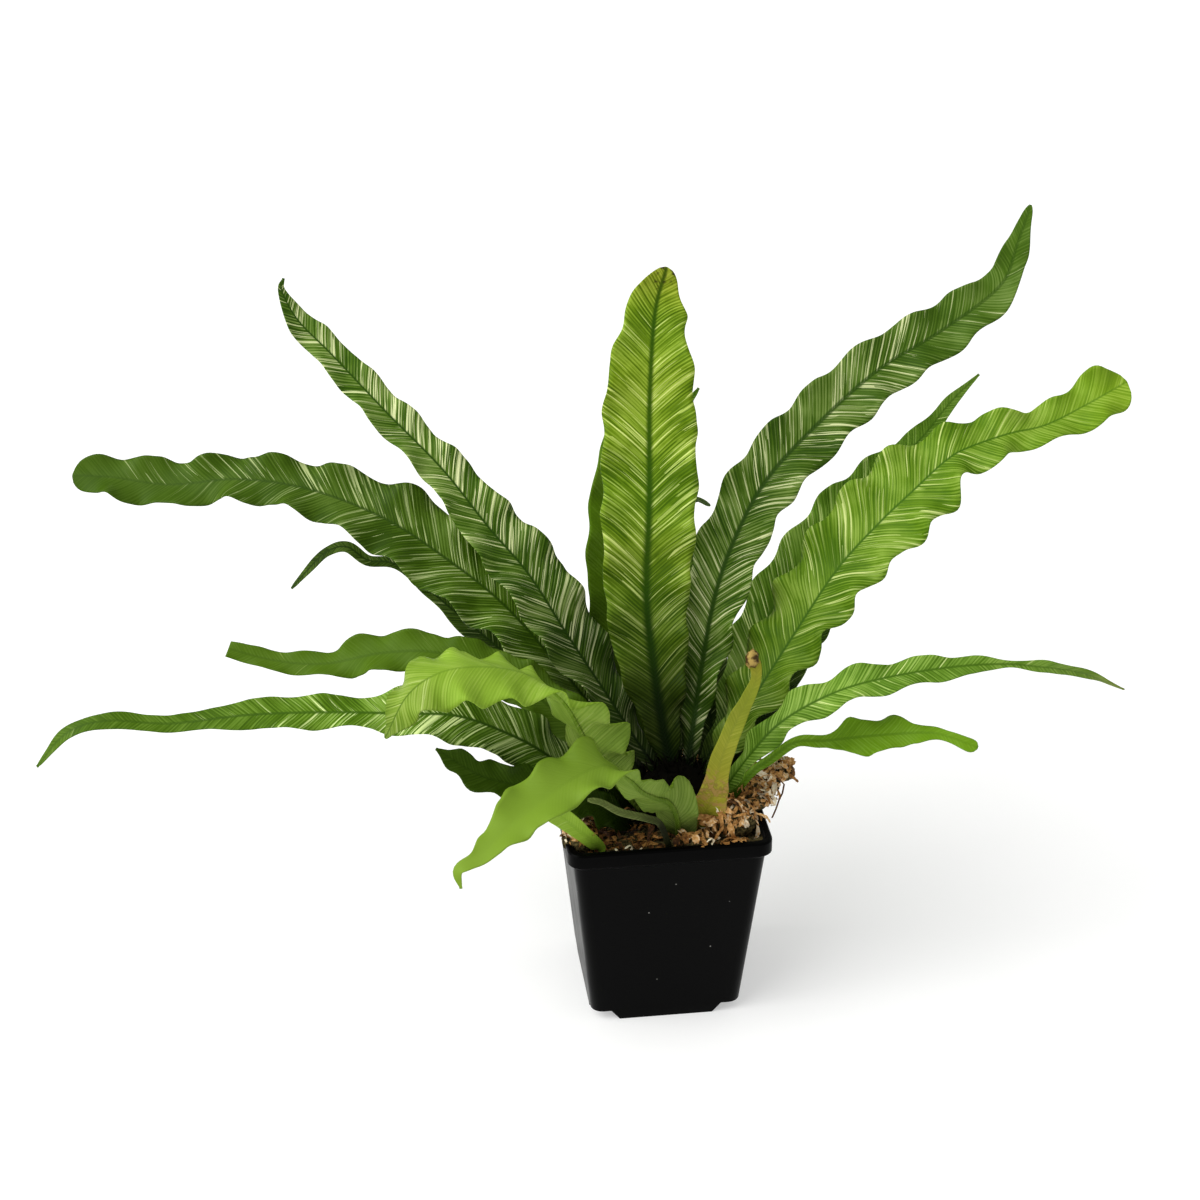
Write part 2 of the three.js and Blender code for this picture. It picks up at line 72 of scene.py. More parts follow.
def new_piece(name, bm, *materials):
    mesh = bpy.data.meshes.new(name)
    bm.to_mesh(mesh)
    bm.free()
    for material in materials:
        mesh.materials.append(material)
    piece = bpy.data.objects.new(name, mesh)
    bpy.context.collection.objects.link(piece)
    return piece


FLOOR_HALF = 30.0
CAMERA_AIM = Vector((-25.8, 0, 196)) * MM
CAMERA_DISTANCE = 1200 * MM
CAMERA_PITCH = math.radians(27.1)
LENS_TO_WIDTH = 2756 / 1200  # the lens's focal length in frame widths
SENSOR_WIDTH = 36

paper, tree, shader = new_material("white paper sweep")
# The sheet is lit from behind as well, which keeps the shadow on it faint
shader.inputs["Base Color"].default_value = linear("#cfcfce")
shader.inputs["Roughness"].default_value = 0.9
shader.inputs["Emission Color"].default_value = linear("#ffffff")
shader.inputs["Emission Strength"].default_value = 0.4
bm = bmesh.new()
bmesh.ops.create_grid(bm, x_segments=1, y_segments=1, size=FLOOR_HALF)
new_piece("floor", bm, paper)

towards_camera = Vector((0, -math.cos(CAMERA_PITCH), math.sin(CAMERA_PITCH)))
camera_data = bpy.data.cameras.new("camera")
camera_data.sensor_width = SENSOR_WIDTH
camera_data.lens = SENSOR_WIDTH * LENS_TO_WIDTH
camera = bpy.data.objects.new("camera", camera_data)
camera.location = CAMERA_AIM + CAMERA_DISTANCE * towards_camera
camera.rotation_euler = (math.pi / 2 - CAMERA_PITCH, 0, 0)
bpy.context.collection.objects.link(camera)
bpy.context.scene.camera = camera

# A wide bank overhead shades the plant softly, and a box at the left lights what stands upright
LIGHTS_AIM = Vector((0, 0, 0.1))
overhead = bpy.data.lights.new("overhead_bank", "SUN")
overhead.energy = 2.0
overhead.angle = math.radians(50)
side_box = bpy.data.lights.new("left_box", "AREA")
side_box.energy = 9
side_box.size = 0.9
for light, place in ((overhead, (-0.9, -0.5, 1.6)), (side_box, (-1.3, -0.3, 0.7))):
    lamp = bpy.data.objects.new(light.name, light)
    lamp.location = place
    lamp.rotation_euler = (LIGHTS_AIM - lamp.location).to_track_quat("-Z", "Y").to_euler()
    bpy.context.collection.objects.link(lamp)

# The rest of the light comes from the studio's white walls
world = bpy.data.worlds.new("studio")
world.use_nodes = True
world.node_tree.nodes["Background"].inputs["Color"].default_value = linear("#ffffff")
world.node_tree.nodes["Background"].inputs["Strength"].default_value = 0.6
bpy.context.scene.world = world
bpy.context.scene.view_settings.view_transform = "Standard"


# Pot
# A thin square nursery pot of black polypropylene, moulded in one piece with a thick band round its
# rim and raised corners underneath, so its edges are a little round and its faces dull.
def merged_copy(node):
    bm = bmesh.new()
    bm.from_mesh(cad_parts[node].data)
    bmesh.ops.remove_doubles(bm, verts=bm.verts, dist=0.01 * MM)
    return bm


EDGE_ROUND = 0.25 * MM
SHARP_EDGE = math.radians(40)
SOFT_EDGE = math.radians(35)
UNDERSIDE = -0.25  # a face that looks further down than this stays free of dust

plastic, tree, shader = new_material("moulded black polypropylene")
# The mould's spark-eroded grain, 0.4 mm across, leaves the black plastic dull, and scuffs of some
# 17 mm make it duller in places
place = add(tree, "ShaderNodeTexCoord").outputs["Object"]
grain = add(tree, "ShaderNodeTexNoise", {"Vector": place, "Scale": 2500.0, "Detail": 2.0})
scuffs = add(tree, "ShaderNodeTexNoise", {"Vector": place, "Scale": 60.0, "Detail": 4.0})
dull = add(
    tree, "ShaderNodeMapRange",
    {
        "Value": scuffs.outputs["Fac"],
        "From Min": 0.3, "From Max": 0.7, "To Min": 0.3, "To Max": 0.42,
    },
)
bump = add(
    tree, "ShaderNodeBump",
    {"Height": grain.outputs["Fac"], "Strength": 0.25, "Distance": 0.05 * MM},
)
# Pale specks of dust, half a millimetre across and a centimetre or more apart
dust = add(tree, "ShaderNodeTexVoronoi", {"Vector": place, "Scale": 250.0})
few = add(tree, "ShaderNodeSeparateColor", {"Color": dust.outputs["Color"]}).outputs["Red"]
close = add(
    tree, "ShaderNodeMapRange",
    {
        "Value": dust.outputs["Distance"],
        "From Min": 0.05, "From Max": 0.1, "To Min": 1.0, "To Max": 0.0,
    },
).outputs["Result"]
chosen = add(tree, "ShaderNodeMath", {0: few, 1: 0.95}, operation="GREATER_THAN").outputs["Value"]
speck = add(tree, "ShaderNodeMath", {0: close, 1: chosen}, operation="MULTIPLY").outputs["Value"]
dusty = add(
    tree, "ShaderNodeMix", {0: speck, 6: linear("#020202"), 7: linear("#8a8a84")}, data_type="RGBA"
).outputs[2]
tree.links.new(dusty, shader.inputs["Base Color"])
# A bloom of fine dust greys the sides that are seen at a flat angle
shader.inputs["Specular IOR Level"].default_value = 0.03
shader.inputs["Sheen Weight"].default_value = 0.12
shader.inputs["Sheen Roughness"].default_value = 0.25
tree.links.new(dull.outputs["Result"], shader.inputs["Roughness"])
tree.links.new(bump.outputs["Normal"], shader.inputs["Normal"])

# Where the pot looks down it has no bloom on it, and is plain black
clean_plastic = plastic.copy()
clean_plastic.name = "clean black polypropylene"
clean_plastic.node_tree.nodes["Principled BSDF"].inputs["Sheen Weight"].default_value = 0.0

bm = merged_copy("pot")
# Its flat walls come as many triangles each, and are made whole before the edges are rounded
bmesh.ops.dissolve_limit(bm, angle_limit=math.radians(2), verts=bm.verts, edges=bm.edges)
sharp = [e for e in bm.edges if e.is_manifold and e.calc_face_angle() > SHARP_EDGE]
bmesh.ops.bevel(
    bm, geom=sharp, offset=EDGE_ROUND, affect="EDGES", segments=3, profile=0.5, material=-1,
    clamp_overlap=True,
)
for face in bm.faces:
    face.smooth = True
    face.material_index = 1 if face.normal.z < UNDERSIDE else 0
for edge in bm.edges:
    edge.smooth = not edge.is_manifold or edge.calc_face_angle() < SOFT_EDGE
pot = new_piece("nursery_pot", bm, plastic, clean_plastic)
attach(pot, "root")
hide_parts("pot")


# Moss
# Long-fibred sphagnum that has dried out into a dark brown matted bed, painted darker still with
# the shade that lies under the curls. Loose flakes and strips of golden brown bark and stem lie on
# it, rolled up into curls and heaped at the right.
MAT_LEVEL = 84 * MM
FACING_UP = 0.25
HEAP_FOOT = 94 * MM
HEAP_RISE = 6 * MM
CROWN_EDGE = 14 * MM
THINNING = 10 * MM
RIM_TOP = 96 * MM
RIM_INSIDE = 36.5 * MM
NEAR_RIM = 34 * MM

CURLS = 1500
CURL_LENGTH = (6 * MM, 15 * MM)
CURL_WIDTH = (1.1 * MM, 3.6 * MM)
CURL_LIFT = (0.1, 1.2)
CURL_TURN = (1.5, 6.5)
CURL_STEPS = 12
CURL_FOOT = 0.6 * MM  # how deep it starts in the mat
TORN = (0.6, 1.2)
CUPPED = 0.2
SHORTER = 0.65
NARROWER = 0.6
GREY_TONE = 0.32
TONE_SPREAD = 0.17
PALE_TONE = 0.95
PALE_SHARE = 0.04

bed, tree, shader = new_material("matted dry sphagnum")
# Dry fibres about 2.4 mm apart scatter the light and have no gloss; the dark gaps between them are
# painted shade
place = add(tree, "ShaderNodeTexCoord").outputs["Object"]
fibres = add(
    tree, "ShaderNodeTexNoise", {"Vector": place, "Scale": 420.0, "Detail": 5.0, "Distortion": 1.5}
)
tint = add(tree, "ShaderNodeValToRGB", {"Fac": fibres.outputs["Fac"]})
tint.color_ramp.elements[0].position = 0.4
tint.color_ramp.elements[0].color = linear("#1c180c")
tint.color_ramp.elements[1].position = 0.7
tint.color_ramp.elements[1].color = linear("#6c603c")
bump = add(
    tree, "ShaderNodeBump", {"Height": fibres.outputs["Fac"], "Strength": 0.9, "Distance": 0.8 * MM}
)
tree.links.new(tint.outputs["Color"], shader.inputs["Base Color"])
tree.links.new(bump.outputs["Normal"], shader.inputs["Normal"])
shader.inputs["Roughness"].default_value = 0.95
shader.inputs["Specular IOR Level"].default_value = 0.05

bm = merged_copy("moss")
seats = [
    (f.calc_center_median().copy(), f.normal.copy(), f.calc_area())
    for f in bm.faces
    if f.normal.z > FACING_UP and f.calc_center_median().z > MAT_LEVEL
]
for face in bm.faces:
    face.smooth = True
moss = new_piece("moss_bed", bm, bed)
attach(moss, "root")
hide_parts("moss")

curl_stuff, tree, shader = new_material("dried bark and sphagnum curls")
# Each curl has one tone, from dark brown over gold to bleached straw, mottled every millimetre, and
# is dry enough to shine only a little
tone = add(tree, "ShaderNodeAttribute", attribute_name="tone").outputs["Fac"]
place = add(tree, "ShaderNodeTexCoord").outputs["Object"]
mottle = add(tree, "ShaderNodeTexNoise", {"Vector": place, "Scale": 900.0, "Detail": 3.0})
shift = add(
    tree, "ShaderNodeMapRange",
    {
        "Value": mottle.outputs["Fac"],
        "From Min": 0.3, "From Max": 0.7, "To Min": -0.15, "To Max": 0.15,
    },
)
mixed = add(tree, "ShaderNodeMath", {0: tone, 1: shift.outputs["Result"]}, operation="ADD")
tint = add(tree, "ShaderNodeValToRGB", {"Fac": mixed.outputs["Value"]})
ramp = tint.color_ramp
ramp.elements[0].position = 0.0
ramp.elements[0].color = linear("#120b05")
ramp.elements[1].position = 1.0
ramp.elements[1].color = linear("#e6dcc0")
for position, colour in [(0.25, "#4a2e18"), (0.5, "#906330"), (0.75, "#c8985a")]:
    ramp.elements.new(position).color = linear(colour)
tree.links.new(tint.outputs["Color"], shader.inputs["Base Color"])
shader.inputs["Roughness"].default_value = 0.7
shader.inputs["Specular IOR Level"].default_value = 0.15

chance = random.Random(11)


def share(value, start, span):
    """How far the value is on its way through a span, from 0 to 1."""
    return min(1.0, max(0.0, (value - start) / span))


def add_ribbon(bm, start, normal, tone, length, width, lift, turn):
    """A torn strip that sets out from a point in its own direction and curls up on its way."""
    heading = Vector((chance.gauss(0, 1), chance.gauss(0, 1), chance.gauss(0, 1)))
    heading = (heading - heading.dot(normal) * normal).normalized()
    direction = (heading + lift * normal).normalized()
    axis = direction.cross(normal).normalized()
    lean = chance.uniform(-0.5, 0.5)
    axis = (axis + lean * direction).normalized()
    layer = bm.verts.layers.float["tone"]
    made = bmesh.ops.create_grid(bm, x_segments=2, y_segments=CURL_STEPS, size=0.5)["verts"]
    rows = {}
    for vert in made:
        rows.setdefault(round((vert.co.y + 0.5) * CURL_STEPS), []).append(vert)
    point = start.copy()
    for row in sorted(rows):
        along = row / CURL_STEPS
        up = axis.cross(direction).normalized()
        # The strip is narrow at both ends, and its margins are torn and turned up
        torn = chance.uniform(*TORN)
        reach = width * torn * (0.3 + 0.7 * math.sin(math.pi * (0.12 + 0.8 * along)))
        for vert in rows[row]:
            across = vert.co.x * 2
            vert.co = point + axis * (across * reach / 2) + up * (abs(across) * width * CUPPED)
            vert[layer] = tone
        point += direction * (length / CURL_STEPS)
        angle = -turn * (0.5 + along) / CURL_STEPS
        direction = (
            direction * math.cos(angle) + axis.cross(direction) * math.sin(angle)
            + axis * axis.dot(direction) * (1 - math.cos(angle))
        ).normalized()


bm = bmesh.new()
bm.verts.layers.float.new("tone")
# The curls lie three times as thick on the heaps as elsewhere, and a quarter as thick at the crown.
# They are grey brown at the middle and turn golden to both sides: from which place in x, how far
# away from it, over what span, and by how much.
GOLDEN = [(-10 * MM, 17 * MM, 8 * MM, 0.3), (4 * MM, 36 * MM, 6 * MM, 0.14)]
areas = []
for centre, normal, area in seats:
    heap = 1.0 + 2.0 * share(centre.z, HEAP_FOOT, HEAP_RISE)
    outer = share(max(abs(centre.x), abs(centre.y)), CROWN_EDGE, THINNING)
    areas.append((areas[-1] if areas else 0) + area * heap * (0.25 + 0.75 * outer))
for i in range(CURLS):
    centre, normal, area = seats[bisect.bisect_left(areas, chance.random() * areas[-1])]
    spread = math.sqrt(area)
    start = centre + Vector([chance.uniform(-spread, spread) for _ in range(3)]) * 0.5
    # Where the moss is lower than the rim, a curl starts inside the pot
    if centre.z < RIM_TOP:
        start.x = min(RIM_INSIDE, max(-RIM_INSIDE, start.x))
        start.y = min(RIM_INSIDE, max(-RIM_INSIDE, start.y))
    golden = GREY_TONE
    for middle, distance, span, more in GOLDEN:
        golden += more * share(abs(centre.x - middle), distance, span)
    near_rim = max(abs(start.x), abs(start.y)) > NEAR_RIM
    pale = chance.random() < PALE_SHARE
    add_ribbon(
        bm,
        start - CURL_FOOT * normal,
        normal,
        PALE_TONE if pale else share(chance.gauss(golden, TONE_SPREAD), 0, 1),
        chance.uniform(*CURL_LENGTH) * (SHORTER if near_rim or pale else 1.0),
        chance.uniform(*CURL_WIDTH) * (NARROWER if pale else 1.0),
        chance.uniform(*CURL_LIFT),
        chance.uniform(*CURL_TURN),
    )

# Bleached rings of stem that have come to lie along the front rim
RINGS = [(-19.2, -39, 93), (-14.8, -39, 93), (-7.3, -40, 94), (13.8, -38, 95), (21.1, -41.5, 98)]
RING_LENGTH = 9 * MM
RING_WIDTH = 1.2 * MM
RING_LIFT = 0.2
RING_TURN = 6.0
BLEACHED = 0.98
for ring in RINGS:
    add_ribbon(
        bm, Vector(ring) * MM, Vector((0, -0.5, 0.8)), BLEACHED,
        RING_LENGTH, RING_WIDTH, RING_LIFT, RING_TURN,
    )

# What would run into the pot's wall lies on its rim instead
POT_TURN = math.radians(7.5)
WALL_INSIDE = 41 * MM
ON_RIM = RIM_TOP + 0.6 * MM
for vert in bm.verts:
    x = vert.co.x * math.cos(POT_TURN) + vert.co.y * math.sin(POT_TURN)
    y = vert.co.y * math.cos(POT_TURN) - vert.co.x * math.sin(POT_TURN)
    if max(abs(x), abs(y)) > WALL_INSIDE and x < WALL_INSIDE:
        vert.co.z = max(vert.co.z, ON_RIM)

# One thin stem hangs over the rim at the right. Its points are in mm.
STRAND_WIDTH = 0.8
STRAND_TONE = 0.3
STRAND = [
    (53, -2.5, 109), (56.9, -4, 105), (56.2, -5, 101), (54.7, -6, 98), (53.3, -8, 94.5),
    (51.5, -10, 91),
]
strand = bmesh.ops.create_grid(bm, x_segments=1, y_segments=len(STRAND) - 1, size=0.5)["verts"]
for vert in strand:
    step = round((0.5 - vert.co.y) * (len(STRAND) - 1))
    vert[bm.verts.layers.float["tone"]] = STRAND_TONE
    vert.co = (Vector(STRAND[step]) + Vector((vert.co.x * STRAND_WIDTH, 0, 0))) * MM

for face in bm.faces:
    face.smooth = True
curls = new_piece("moss_curls", bm, curl_stuff)
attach(curls, "root")


# Crown
# The short upright stem, hidden by a thick coat of narrow black-brown papery scales that grow from
# it between the foot of one frond and the next.
SCALES = 420
SCALE_LENGTH = (4, 9)
SCALE_WIDTH = (0.6, 1.4)
SCALE_LIFT = 2.0
SCALE_TURN = (-0.4, 1.5)
CROWN_LOWEST = 92 * MM
SMALLEST_SEAT = (0.8 * MM) ** 2

scale_stuff, tree, shader = new_material("papery crown scales")
# The scales are black-brown of their own and painted nearly black with the shade deep in the
# rosette, with fibres 1.7 mm apart that hardly catch the light
place = add(tree, "ShaderNodeTexCoord").outputs["Object"]
fibres = add(tree, "ShaderNodeTexNoise", {"Vector": place, "Scale": 600.0, "Detail": 4.0})
tint = add(tree, "ShaderNodeValToRGB", {"Fac": fibres.outputs["Fac"]})
tint.color_ramp.elements[0].color = linear("#020201")
tint.color_ramp.elements[1].color = linear("#0d0b06")
tree.links.new(tint.outputs["Color"], shader.inputs["Base Color"])
shader.inputs["Roughness"].default_value = 0.9
shader.inputs["Specular IOR Level"].default_value = 0.03

bm = merged_copy("crown")
seats = [
    (f.calc_center_median().copy(), f.normal.copy())
    for f in bm.faces
    if f.normal.z > -0.2
    and f.calc_center_median().z > CROWN_LOWEST
    and f.calc_area() > SMALLEST_SEAT
]
crown = new_piece("crown_core", bm, scale_stuff)
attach(crown, "root")
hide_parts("crown")

bm = bmesh.new()
bm.verts.layers.float.new("tone")
for i in range(SCALES):
    centre, normal = chance.choice(seats)
    start = centre + Vector([chance.uniform(-1, 1) for _ in range(3)]) * MM
    add_ribbon(
        bm, start, (normal + Vector((0, 0, 0.8))).normalized(), 0.0,
        chance.uniform(*SCALE_LENGTH) * MM, chance.uniform(*SCALE_WIDTH) * MM,
        SCALE_LIFT, chance.uniform(*SCALE_TURN),
    )
scales = new_piece("crown_scales", bm, scale_stuff)
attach(scales, "root")


# Fronds
# Undivided strap-shaped leaves, each grown as one thin blade on a dark midrib, with straight side
# veins close together and wavy margins. Cream stripes follow the side veins where the leaf has no
# green in it.
BLADE_THICK = 0.5 * MM
ACROSS = 16
RIB_SIDES = 8
RIB_STEPS = 50
TIP_CROWDING = 1.1  # the stations lie closer together towards the tip

# The other sizes of a frond are in mm, as its route is
STATION = 1.6
STIPE_WIDTH = 3.4
WAVY_FROM_STIPE = 18  # a blade so much wider than its stipe has its full wave
NARROWEST = 1.2
CRIMP_HEIGHT = 2.4
RIB_BASE = 1.55
RIB_TIP = 0.35
RIB_FULL_WIDTH = 3  # a narrower blade has a thinner rib
RIB_BELOW = 0.35
RIB_SUNK = 0.55  # in half widths of the rib
RIB_FADE = 0.35

# The greens of each kind of leaf, the cream of its stripes, and its midrib's colour and band: how
# many of the rib's half widths are fully dark, and where the dark has faded out. Most die dark.
DEAD = "#2c2a0a"
LEAVES = {
    "deep": dict(
        dark="#2c4604", mid="#42600c", light="#63802c", cream="#bccb88",
        rib="#2e4a08", band=(0.2, 0.8),
    ),
    "striped": dict(
        dark="#2c4a06", mid="#4a6a16", light="#7c9448", cream="#dde4a8",
        rib="#2a4808", band=(0.2, 0.7),
    ),
    "lit": dict(
        dark="#3e6004", mid="#5e8010", light="#86a634", cream="#c8dc7c",
        rib="#2c5002", band=(0.5, 3.0),
    ),
    "bright": dict(
        dark="#44680a", mid="#5f8218", light="#84a23c", cream="#c8d684",
        rib="#3a6008", band=(0.1, 0.7),
    ),
    "mid": dict(
        dark="#3c5c0c", mid="#567820", light="#7c9a40", cream="#c4d288",
        rib="#38580c", band=(0.1, 0.7),
    ),
    "plain": dict(
        dark="#4c6e0e", mid="#567810", light="#668828", cream="#9cb258",
        rib="#446408", band=(0.1, 0.9),
    ),
    "lime": dict(
        dark="#608018", mid="#7c9c2e", light="#96b04a", cream="#c4d482",
        rib="#587818", band=(0.1, 0.8),
    ),
    "pale": dict(
        dark="#586238", mid="#707c44", light="#8c965c", cream="#a2ac7c",
        rib="#626c3c", band=(0.1, 0.8),
    ),
    "old": dict(
        dark="#6e7c1a", mid="#84902a", light="#a2a63e", cream="#b8b858",
        rib="#74802a", band=(0.1, 0.6), dead="#9a7e42",
    ),
}
VEIN_SLOPE = 1.1  # a side vein leaves the rib at 48 degrees from the line across it,
VEIN_BEND = 0.01  # and turns outwards by this much for each mm
DRAWN_OUT = 0.05  # the pattern is this much finer along a vein, which makes its cells long

# How light the green is adds up from clouds, pleats and cells. The cells come in three sizes: how
# many to a mm, their share in the green, and whether they count where green is lacking.
CLOUD_SHARE = 0.7
PLEAT_SHARE = 0.14
CELLS = ((1.7, 0.26, 1.0), (0.9, 0.2, 1.0), (0.42, 0.12, 0.0))
PALE_FROM = 1.72
CREAM_FROM = 2.06

# The attribute light is painted light and shade; the others are the leaf's own
LEAF_ATTRIBUTES = ("light", "cream", "ageing", "veined", "rib")


def leaf_material(name, leaf, under):
    material, tree, shader = new_material(name)
    veins = add(tree, "ShaderNodeUVMap", uv_map="veins").outputs["UV"]
    along_veins = add(tree, "ShaderNodeMapping", {"Vector": veins, "Scale": (1.0, DRAWN_OUT, 1.0)})
    drawn_out = along_veins.outputs["Vector"]
    across = add(tree, "ShaderNodeSeparateXYZ", {"Vector": veins}).outputs["Y"]
    out = add(tree, "ShaderNodeMath", {0: across}, operation="ABSOLUTE").outputs["Value"]
    light, cream, ageing, veined, rib = (
        add(tree, "ShaderNodeAttribute", attribute_name=n).outputs["Fac"] for n in LEAF_ATTRIBUTES
    )
    place = add(tree, "ShaderNodeTexCoord").outputs["Object"]

    # Strips between two veins, each grown from cells with more or less green in them: 0.6 to 2.4 mm
    # wide and as long as the vein, so they have hard edges. The side veins pleat the blade every
    # 1.8 mm, and clouds of lighter green are some 22 mm across.
    clouds = add(tree, "ShaderNodeTexNoise", {"Vector": place, "Scale": 45.0, "Detail": 3.0})
    pleats = add(
        tree, "ShaderNodeTexWave",
        {"Vector": drawn_out, "Scale": 0.17, "Distortion": 2.0, "Detail": 2.0, "Detail Scale": 0.6},
    ).outputs["Fac"]
    green = add(
        tree, "ShaderNodeMath", {0: clouds.outputs["Fac"], 1: CLOUD_SHARE}, operation="MULTIPLY"
    )
    green = add(
        tree, "ShaderNodeMath",
        {0: pleats, 1: PLEAT_SHARE, 2: green.outputs["Value"]}, operation="MULTIPLY_ADD",
    )
    lack = cream
    for scale, weight, lacking in CELLS:
        strips = add(
            tree, "ShaderNodeTexVoronoi",
            {"Vector": drawn_out, "Scale": scale}, voronoi_dimensions="2D",
        ).outputs["Color"]
        green = add(
            tree, "ShaderNodeMath", {0: strips, 1: weight, 2: green.outputs["Value"]},
            operation="MULTIPLY_ADD",
        )
        lack = add(
            tree, "ShaderNodeMath", {0: strips, 1: lacking, 2: lack}, operation="MULTIPLY_ADD"
        ).outputs["Value"]
    greens = add(tree, "ShaderNodeValToRGB", {"Fac": green.outputs["Value"]})
    ramp = greens.color_ramp
    ramp.elements[0].position = 0.54
    ramp.elements[0].color = linear(leaf["dark"])
    ramp.elements[1].position = 0.86
    ramp.elements[1].color = linear(leaf["light"])
    ramp.elements.new(0.7).color = linear(leaf["mid"])

    # Where the skin is thick and waxy the veins hardly show through it
    waxed = add(
        tree, "ShaderNodeMix",
        {0: veined, 6: linear(leaf["mid"]), 7: greens.outputs["Color"]}, data_type="RGBA",
    ).outputs[2]

    # A strip without any green is cream, and one with little is pale
    bare = add(
        tree, "ShaderNodeMapRange", {"Value": lack, "From Min": PALE_FROM, "From Max": CREAM_FROM}
    ).outputs["Result"]
    striped = add(
        tree, "ShaderNodeMix", {0: bare, 6: waxed, 7: linear(leaf["cream"])}, data_type="RGBA"
    ).outputs[2]

    # The midrib is a dark band with soft edges, brown underneath, and wax hides it too
    inner = add(tree, "ShaderNodeMath", {0: rib, 1: leaf["band"][0]}, operation="MULTIPLY")
    outer = add(
        tree, "ShaderNodeMath", {0: rib, 1: leaf["band"][1], 2: RIB_FADE}, operation="MULTIPLY_ADD"
    )
    blade = add(
        tree, "ShaderNodeMapRange",
        {"Value": out, "From Min": inner.outputs["Value"], "From Max": outer.outputs["Value"]},
        interpolation_type="SMOOTHSTEP",
    ).outputs["Result"]
    wax = add(tree, "ShaderNodeMath", {0: 1.0, 1: veined}, operation="SUBTRACT").outputs["Value"]
    off_rib = add(tree, "ShaderNodeMath", {0: blade, 1: wax}, operation="MAXIMUM").outputs["Value"]
    rib_colour = linear("#2c2410" if under else leaf["rib"])
    ribbed = add(
        tree, "ShaderNodeMix", {0: off_rib, 6: rib_colour, 7: striped}, data_type="RGBA"
    ).outputs[2]

    # With age the green yellows, and then dies in spots of 2.5 mm with a dark crust on them
    hue = add(
        tree, "ShaderNodeMapRange",
        {"Value": ageing, "From Max": 0.5, "To Min": 0.5, "To Max": 0.46},
    )
    yellowed = add(
        tree, "ShaderNodeHueSaturation", {"Color": ribbed, "Hue": hue.outputs["Result"]}
    ).outputs["Color"]
    spots = add(
        tree, "ShaderNodeTexNoise", {"Vector": place, "Scale": 400.0, "Detail": 3.0}
    ).outputs["Fac"]
    dying = add(tree, "ShaderNodeMath", {0: spots, 1: ageing}, operation="ADD").outputs["Value"]
    dead = add(tree, "ShaderNodeMapRange", {"Value": dying, "From Min": 1.0, "From Max": 1.15})
    crust = add(tree, "ShaderNodeMapRange", {"Value": spots, "From Min": 0.4, "From Max": 0.55})
    brown = add(
        tree, "ShaderNodeMix",
        {0: crust.outputs["Result"], 6: linear("#33230e"), 7: linear(leaf.get("dead", DEAD))},
        data_type="RGBA",
    ).outputs[2]
    aged = add(
        tree, "ShaderNodeMix", {0: dead.outputs["Result"], 6: yellowed, 7: brown}, data_type="RGBA"
    ).outputs[2]

    # Painted light and shade change how light a frond is along it: it is painted darker where it
    # lies in shade, down to its feet, dark themselves and deep in the rosette, which are painted
    # nearly black, and lighter where it is lit. The underside is a little greyer.
    with_painted_light = add(
        tree, "ShaderNodeHueSaturation", {"Color": aged, "Value": light}
    ).outputs["Color"]
    if under:
        with_painted_light = add(
            tree, "ShaderNodeMix", {0: 0.1, 6: with_painted_light, 7: linear("#8a9a62")}, data_type="RGBA"
        ).outputs[2]
    tree.links.new(with_painted_light, shader.inputs["Base Color"])

    # The pleats are lower under wax. A leaf's skin has a soft shine, and less of it underneath.
    depth = add(tree, "ShaderNodeMapRange", {"Value": veined, "To Min": 0.05, "To Max": 0.4})
    bump = add(
        tree, "ShaderNodeBump",
        {"Height": pleats, "Strength": depth.outputs["Result"], "Distance": 0.3 * MM},
    )
    tree.links.new(bump.outputs["Normal"], shader.inputs["Normal"])
    shader.inputs["Roughness"].default_value = 0.55 if under else 0.45
    shader.inputs["Specular IOR Level"].default_value = 0.06
    return material


def along_list(values, u):
    """The value at u, which is 0 at the foot and 1 at the tip, of a list spread evenly along it."""
    last = len(values) - 1
    if last == 0:
        return values[0]
    at = min(u * last, last - 1e-9)
    i = int(at)
    f = at - i
    if isinstance(values[0], (list, tuple)):
        return [a + (b - a) * f for a, b in zip(values[i], values[i + 1])]
    return values[i] + (values[i + 1] - values[i]) * f * f * (3 - 2 * f)


class RibLine:
    """The smooth line of a midrib through its route's points, measured along its length in mm."""

    def __init__(self, route):
        points = [Vector(p) for p in route]
        points = [2 * points[0] - points[1]] + points + [2 * points[-1] - points[-2]]
        self.points = []
        for a, b, c, d in zip(points, points[1:], points[2:], points[3:]):
            leave, arrive = (c - a) / 2, (d - b) / 2
            for k in range(RIB_STEPS):
                t = k / RIB_STEPS
                self.points.append(
                    b + leave * t + (3 * (c - b) - 2 * leave - arrive) * t**2
                    + (2 * (b - c) + leave + arrive) * t**3
                )
        self.points.append(points[-2])
        self.lengths = [0.0]
        for a, b in zip(self.points, self.points[1:]):
            self.lengths.append(self.lengths[-1] + (b - a).length)
        self.length = self.lengths[-1]

    def at(self, u):
        want = min(max(u, 0), 1) * self.length
        i = min(max(bisect.bisect_right(self.lengths, want), 1), len(self.points) - 1)
        start, end = self.points[i - 1], self.points[i]
        part = (want - self.lengths[i - 1]) / (self.lengths[i] - self.lengths[i - 1])
        before, after = self.points[max(i - 3, 0)], self.points[min(i + 2, len(self.points) - 1)]
        return start.lerp(end, part), (after - before).normalized()


